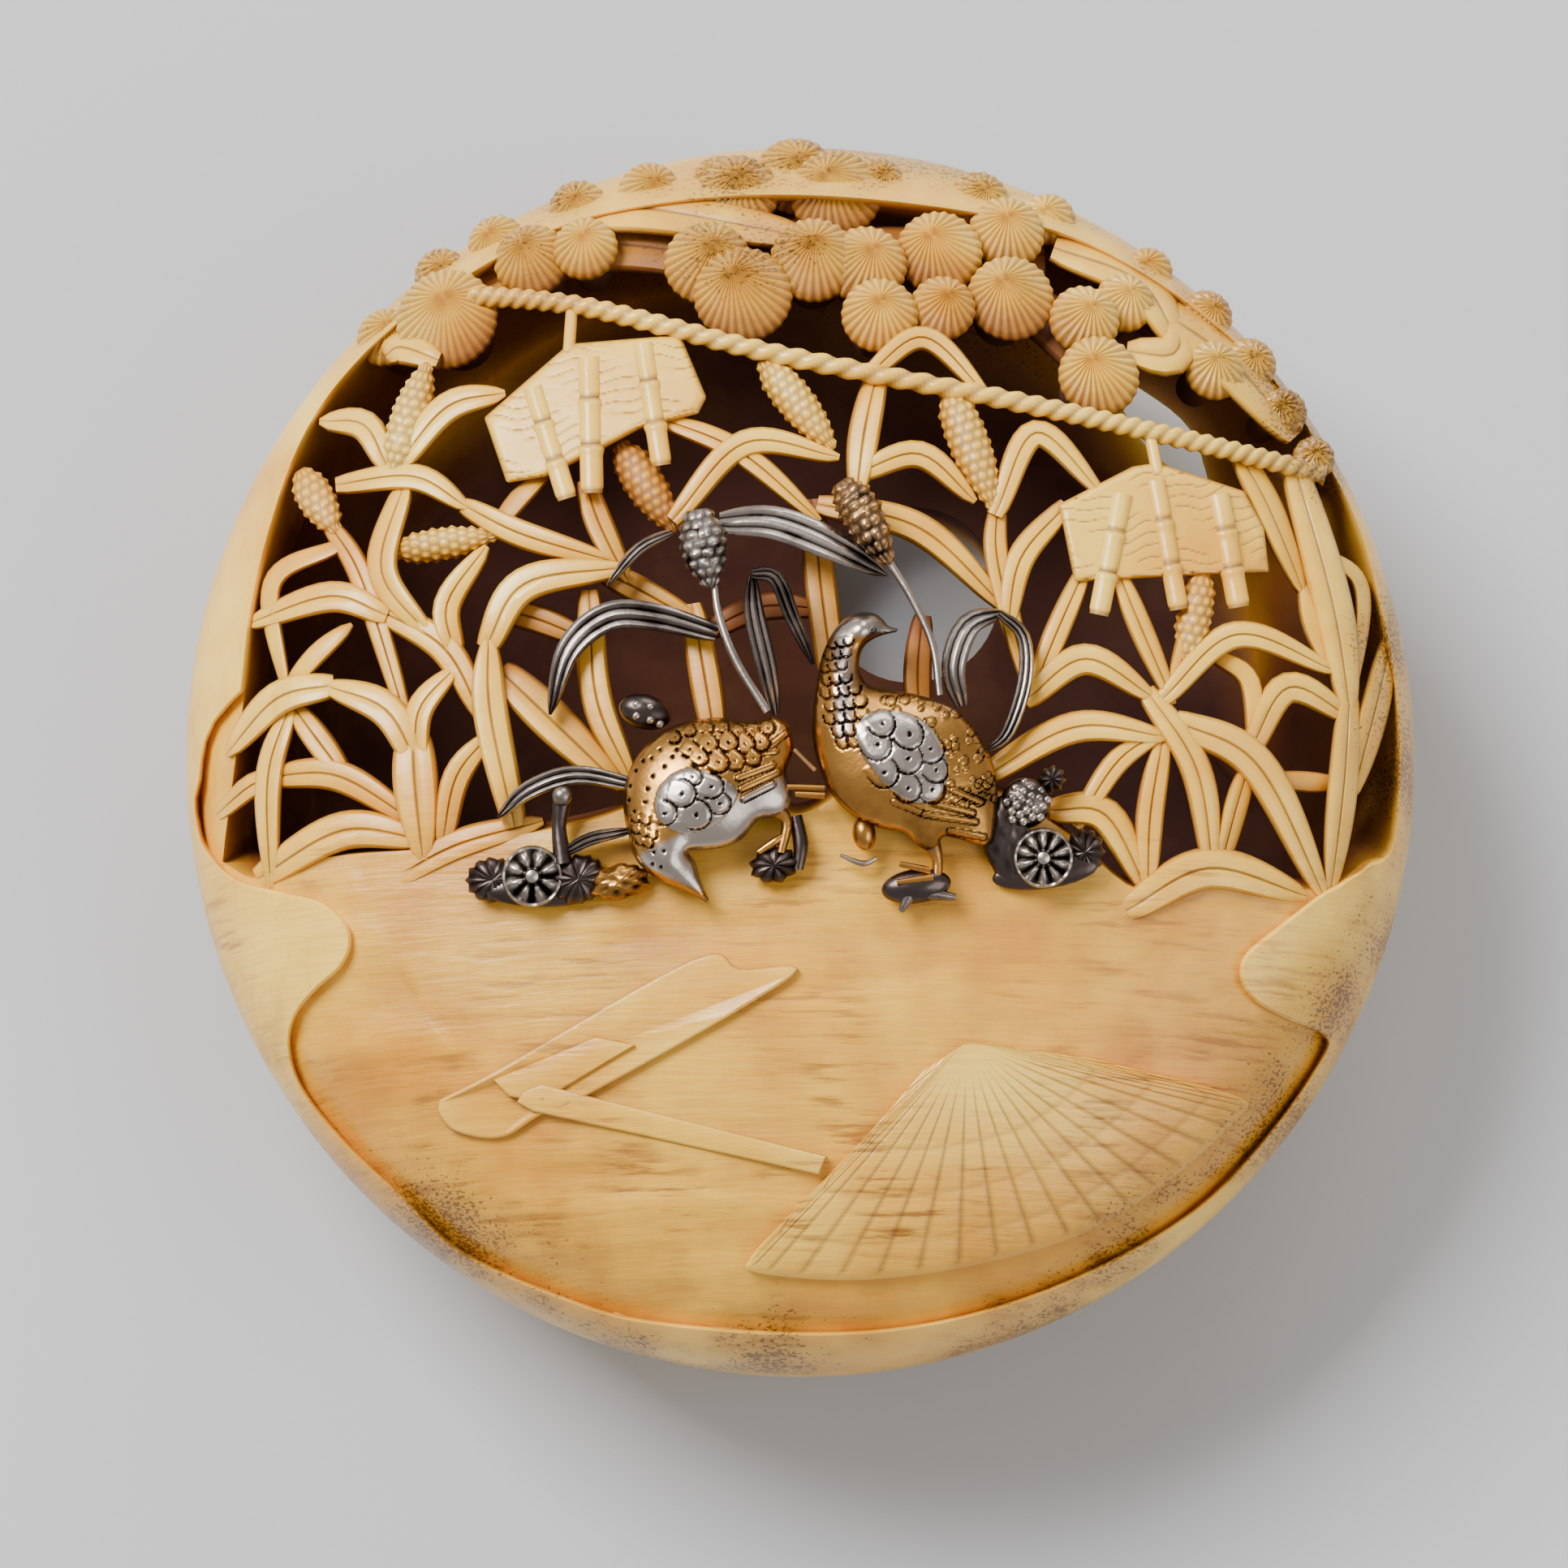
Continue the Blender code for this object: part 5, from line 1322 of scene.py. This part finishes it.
def buildRightOrnament():
    bm = newCasting()
    castBird(bm, rightQuail, chaseRight)
    castTube(bm, ((4.6, -3.0), (4.85, -3.8), (4.8, -4.6)), (0.34, 0.2, 0.2), 0.4, 0.2)
    castLump(bm, {"at": (4.1, -4.7), "long": 1.25, "wide": 0.62, "turn": 8, "rise": 0.5, "lift": 0.2}, 2.0)
    castTube(bm, ((3.5, -3.9), (4.6, -4.15)), (0.1, 0.14), 0.62, 0.0)
    castTube(bm, ((3.4, -4.55), (4.7, -4.38)), (0.1, 0.14), 0.66, 0.0)
    castTube(bm, ((4.4, -4.9), (5.5, -5.1)), (0.3, 0.12), 0.3, 1.6)
    castTube(bm, ((3.9, -4.9), (3.55, -5.6)), (0.3, 0.1), 0.3, 1.6)
    castLump(bm, {"at": (2.25, -2.85), "long": 0.42, "wide": 0.6, "turn": 10, "rise": 0.5, "lift": 0.35}, 0.0)
    castTube(bm, ((1.4, -3.6), (2.2, -3.9), (2.7, -3.7)), (0.07, 0.12, 0.07), 0.12, 1.0)
    # flowers behind the bird
    castLump(bm, {"at": (8.0, -1.75), "long": 0.9, "wide": 0.9, "turn": 0, "rise": 0.55, "lift": 0.3}, 2.0)
    scatter = random.Random(5)
    for k in range(22):
        turn, far = 2.4 * k, 0.78 * math.sqrt((k + 0.5) / 22)
        castLump(bm, {"at": (8.0 + far * math.cos(turn), -1.75 + far * math.sin(turn)), "long": 0.17, "wide": 0.17,
                      "turn": 0, "rise": 0.16, "lift": 0.3 + 0.5 * math.sqrt(1 - far * far)},
                 scatter.choice((1.0, 1.5)), sides=12, rows=8)
    castLump(bm, {"at": (8.95, -0.9), "long": 0.5, "wide": 0.45, "turn": 40, "rise": 0.45, "lift": 0.3}, 2.0,
             fanRelief(8, 0.2))
    castFlower(bm, (8.62, -3.7), 1.06, 10, 0.55)
    castLump(bm, {"at": (10.1, -3.5), "long": 0.7, "wide": 0.8, "turn": 0, "rise": 0.5, "lift": 0.1}, 2.0,
             fanRelief(11, 0.2))
    castLump(bm, {"at": (7.35, -3.1), "long": 0.85, "wide": 1.6, "turn": 10, "rise": 0.45}, 2.0, beadRelief(9, 0.1))
    castLump(bm, {"at": (8.7, -4.2), "long": 1.9, "wide": 0.6, "turn": 8, "rise": 0.25, "lift": 0.08}, 2.0)
    castTube(bm, ((1.4, 9.75), (2.2, 8.6), (3.15, 6.8)), (0.35, 0.72, 0.76, 0.6, 0.2), 0.75, 0.35, sides=40,
             spacing=0.07, shape=grainRelief(9, 9, 0.12))
    castTube(bm, ((3.15, 6.9), (4.0, 5.5), (4.7, 3.9), (4.95, 2.1)), (0.14, 0.13), 0.65, 1.2)
    castLeaf(bm, ((5.75, 1.7), (5.45, 3.1), (6.0, 4.6), (7.2, 5.05)), 0.85, 0.45, 1.5, baseShare=0.5)
    castLeaf(bm, ((7.1, 5.05), (7.95, 4.2), (8.0, 2.6), (7.4, 0.8), (6.7, 0.15)), 0.5, 0.55, 1.3)
    return finishPiece(bm, "quailOrnamentRight", [metal], "quail_ornament_right")


buildLeftOrnament()
buildRightOrnament()
print("ornaments cast and chased")

# Floor, light and camera
stage = {"floor": "#B7B9BC", "floorSize": 2.0, "key": 10.0, "fill": 2.2, "back": 1.5, "world": 0.5}


def areaLight(name, place, aim, power, size):
    data = bpy.data.lights.new(name, "AREA")
    data.energy = power
    data.size = size
    lamp = bpy.data.objects.new(name, data)
    lamp.location = place
    lamp.rotation_euler = (Vector(aim) - Vector(place)).to_track_quat("-Z", "Y").to_euler()
    bpy.context.scene.collection.objects.link(lamp)


def buildStage():
    bpy.ops.mesh.primitive_plane_add(size=stage["floorSize"])
    floor = bpy.context.active_object
    floor.name = "floor"
    made, tree, shader = startMaterial("matt paper")
    shader.inputs["Base Color"].default_value = linear(stage["floor"])
    shader.inputs["Roughness"].default_value = 0.9
    floor.data.materials.append(made)
    areaLight("key", (-0.35, 0.30, 0.55), centre, stage["key"], 0.35)
    areaLight("fill", (0.5, -0.25, 0.5), centre, stage["fill"], 0.5)
    areaLight("back", (0.15, 0.6, 0.3), centre, stage["back"], 0.3)
    world = bpy.data.worlds.new("studio")
    world.use_nodes = True
    world.node_tree.nodes["Background"].inputs[0].default_value = (1.0, 0.97, 0.93, 1.0)
    world.node_tree.nodes["Background"].inputs[1].default_value = stage["world"]
    bpy.context.scene.world = world

    data = bpy.data.cameras.new("camera")
    data.lens = camera["lens"]
    data.sensor_width = 36.0
    data.clip_end = 10.0
    eye = bpy.data.objects.new("camera", data)
    bpy.context.scene.collection.objects.link(eye)
    wide = camera["frame"] / camera["pixelsPerMm"] * mm
    distance = wide * data.lens / data.sensor_width
    shiftRight = (camera["frame"] / 2 - camera["middle"][0]) / camera["pixelsPerMm"] * mm
    shiftUp = (camera["middle"][1] - camera["frame"] / 2) / camera["pixelsPerMm"] * mm
    target = centre + right * shiftRight + up * shiftUp
    eye.location = target + out * distance
    eye.rotation_euler = (math.pi / 2 - (math.pi / 2 - camera["lean"]), 0, 0)
    bpy.context.scene.camera = eye


buildStage()
print("stage and camera set")
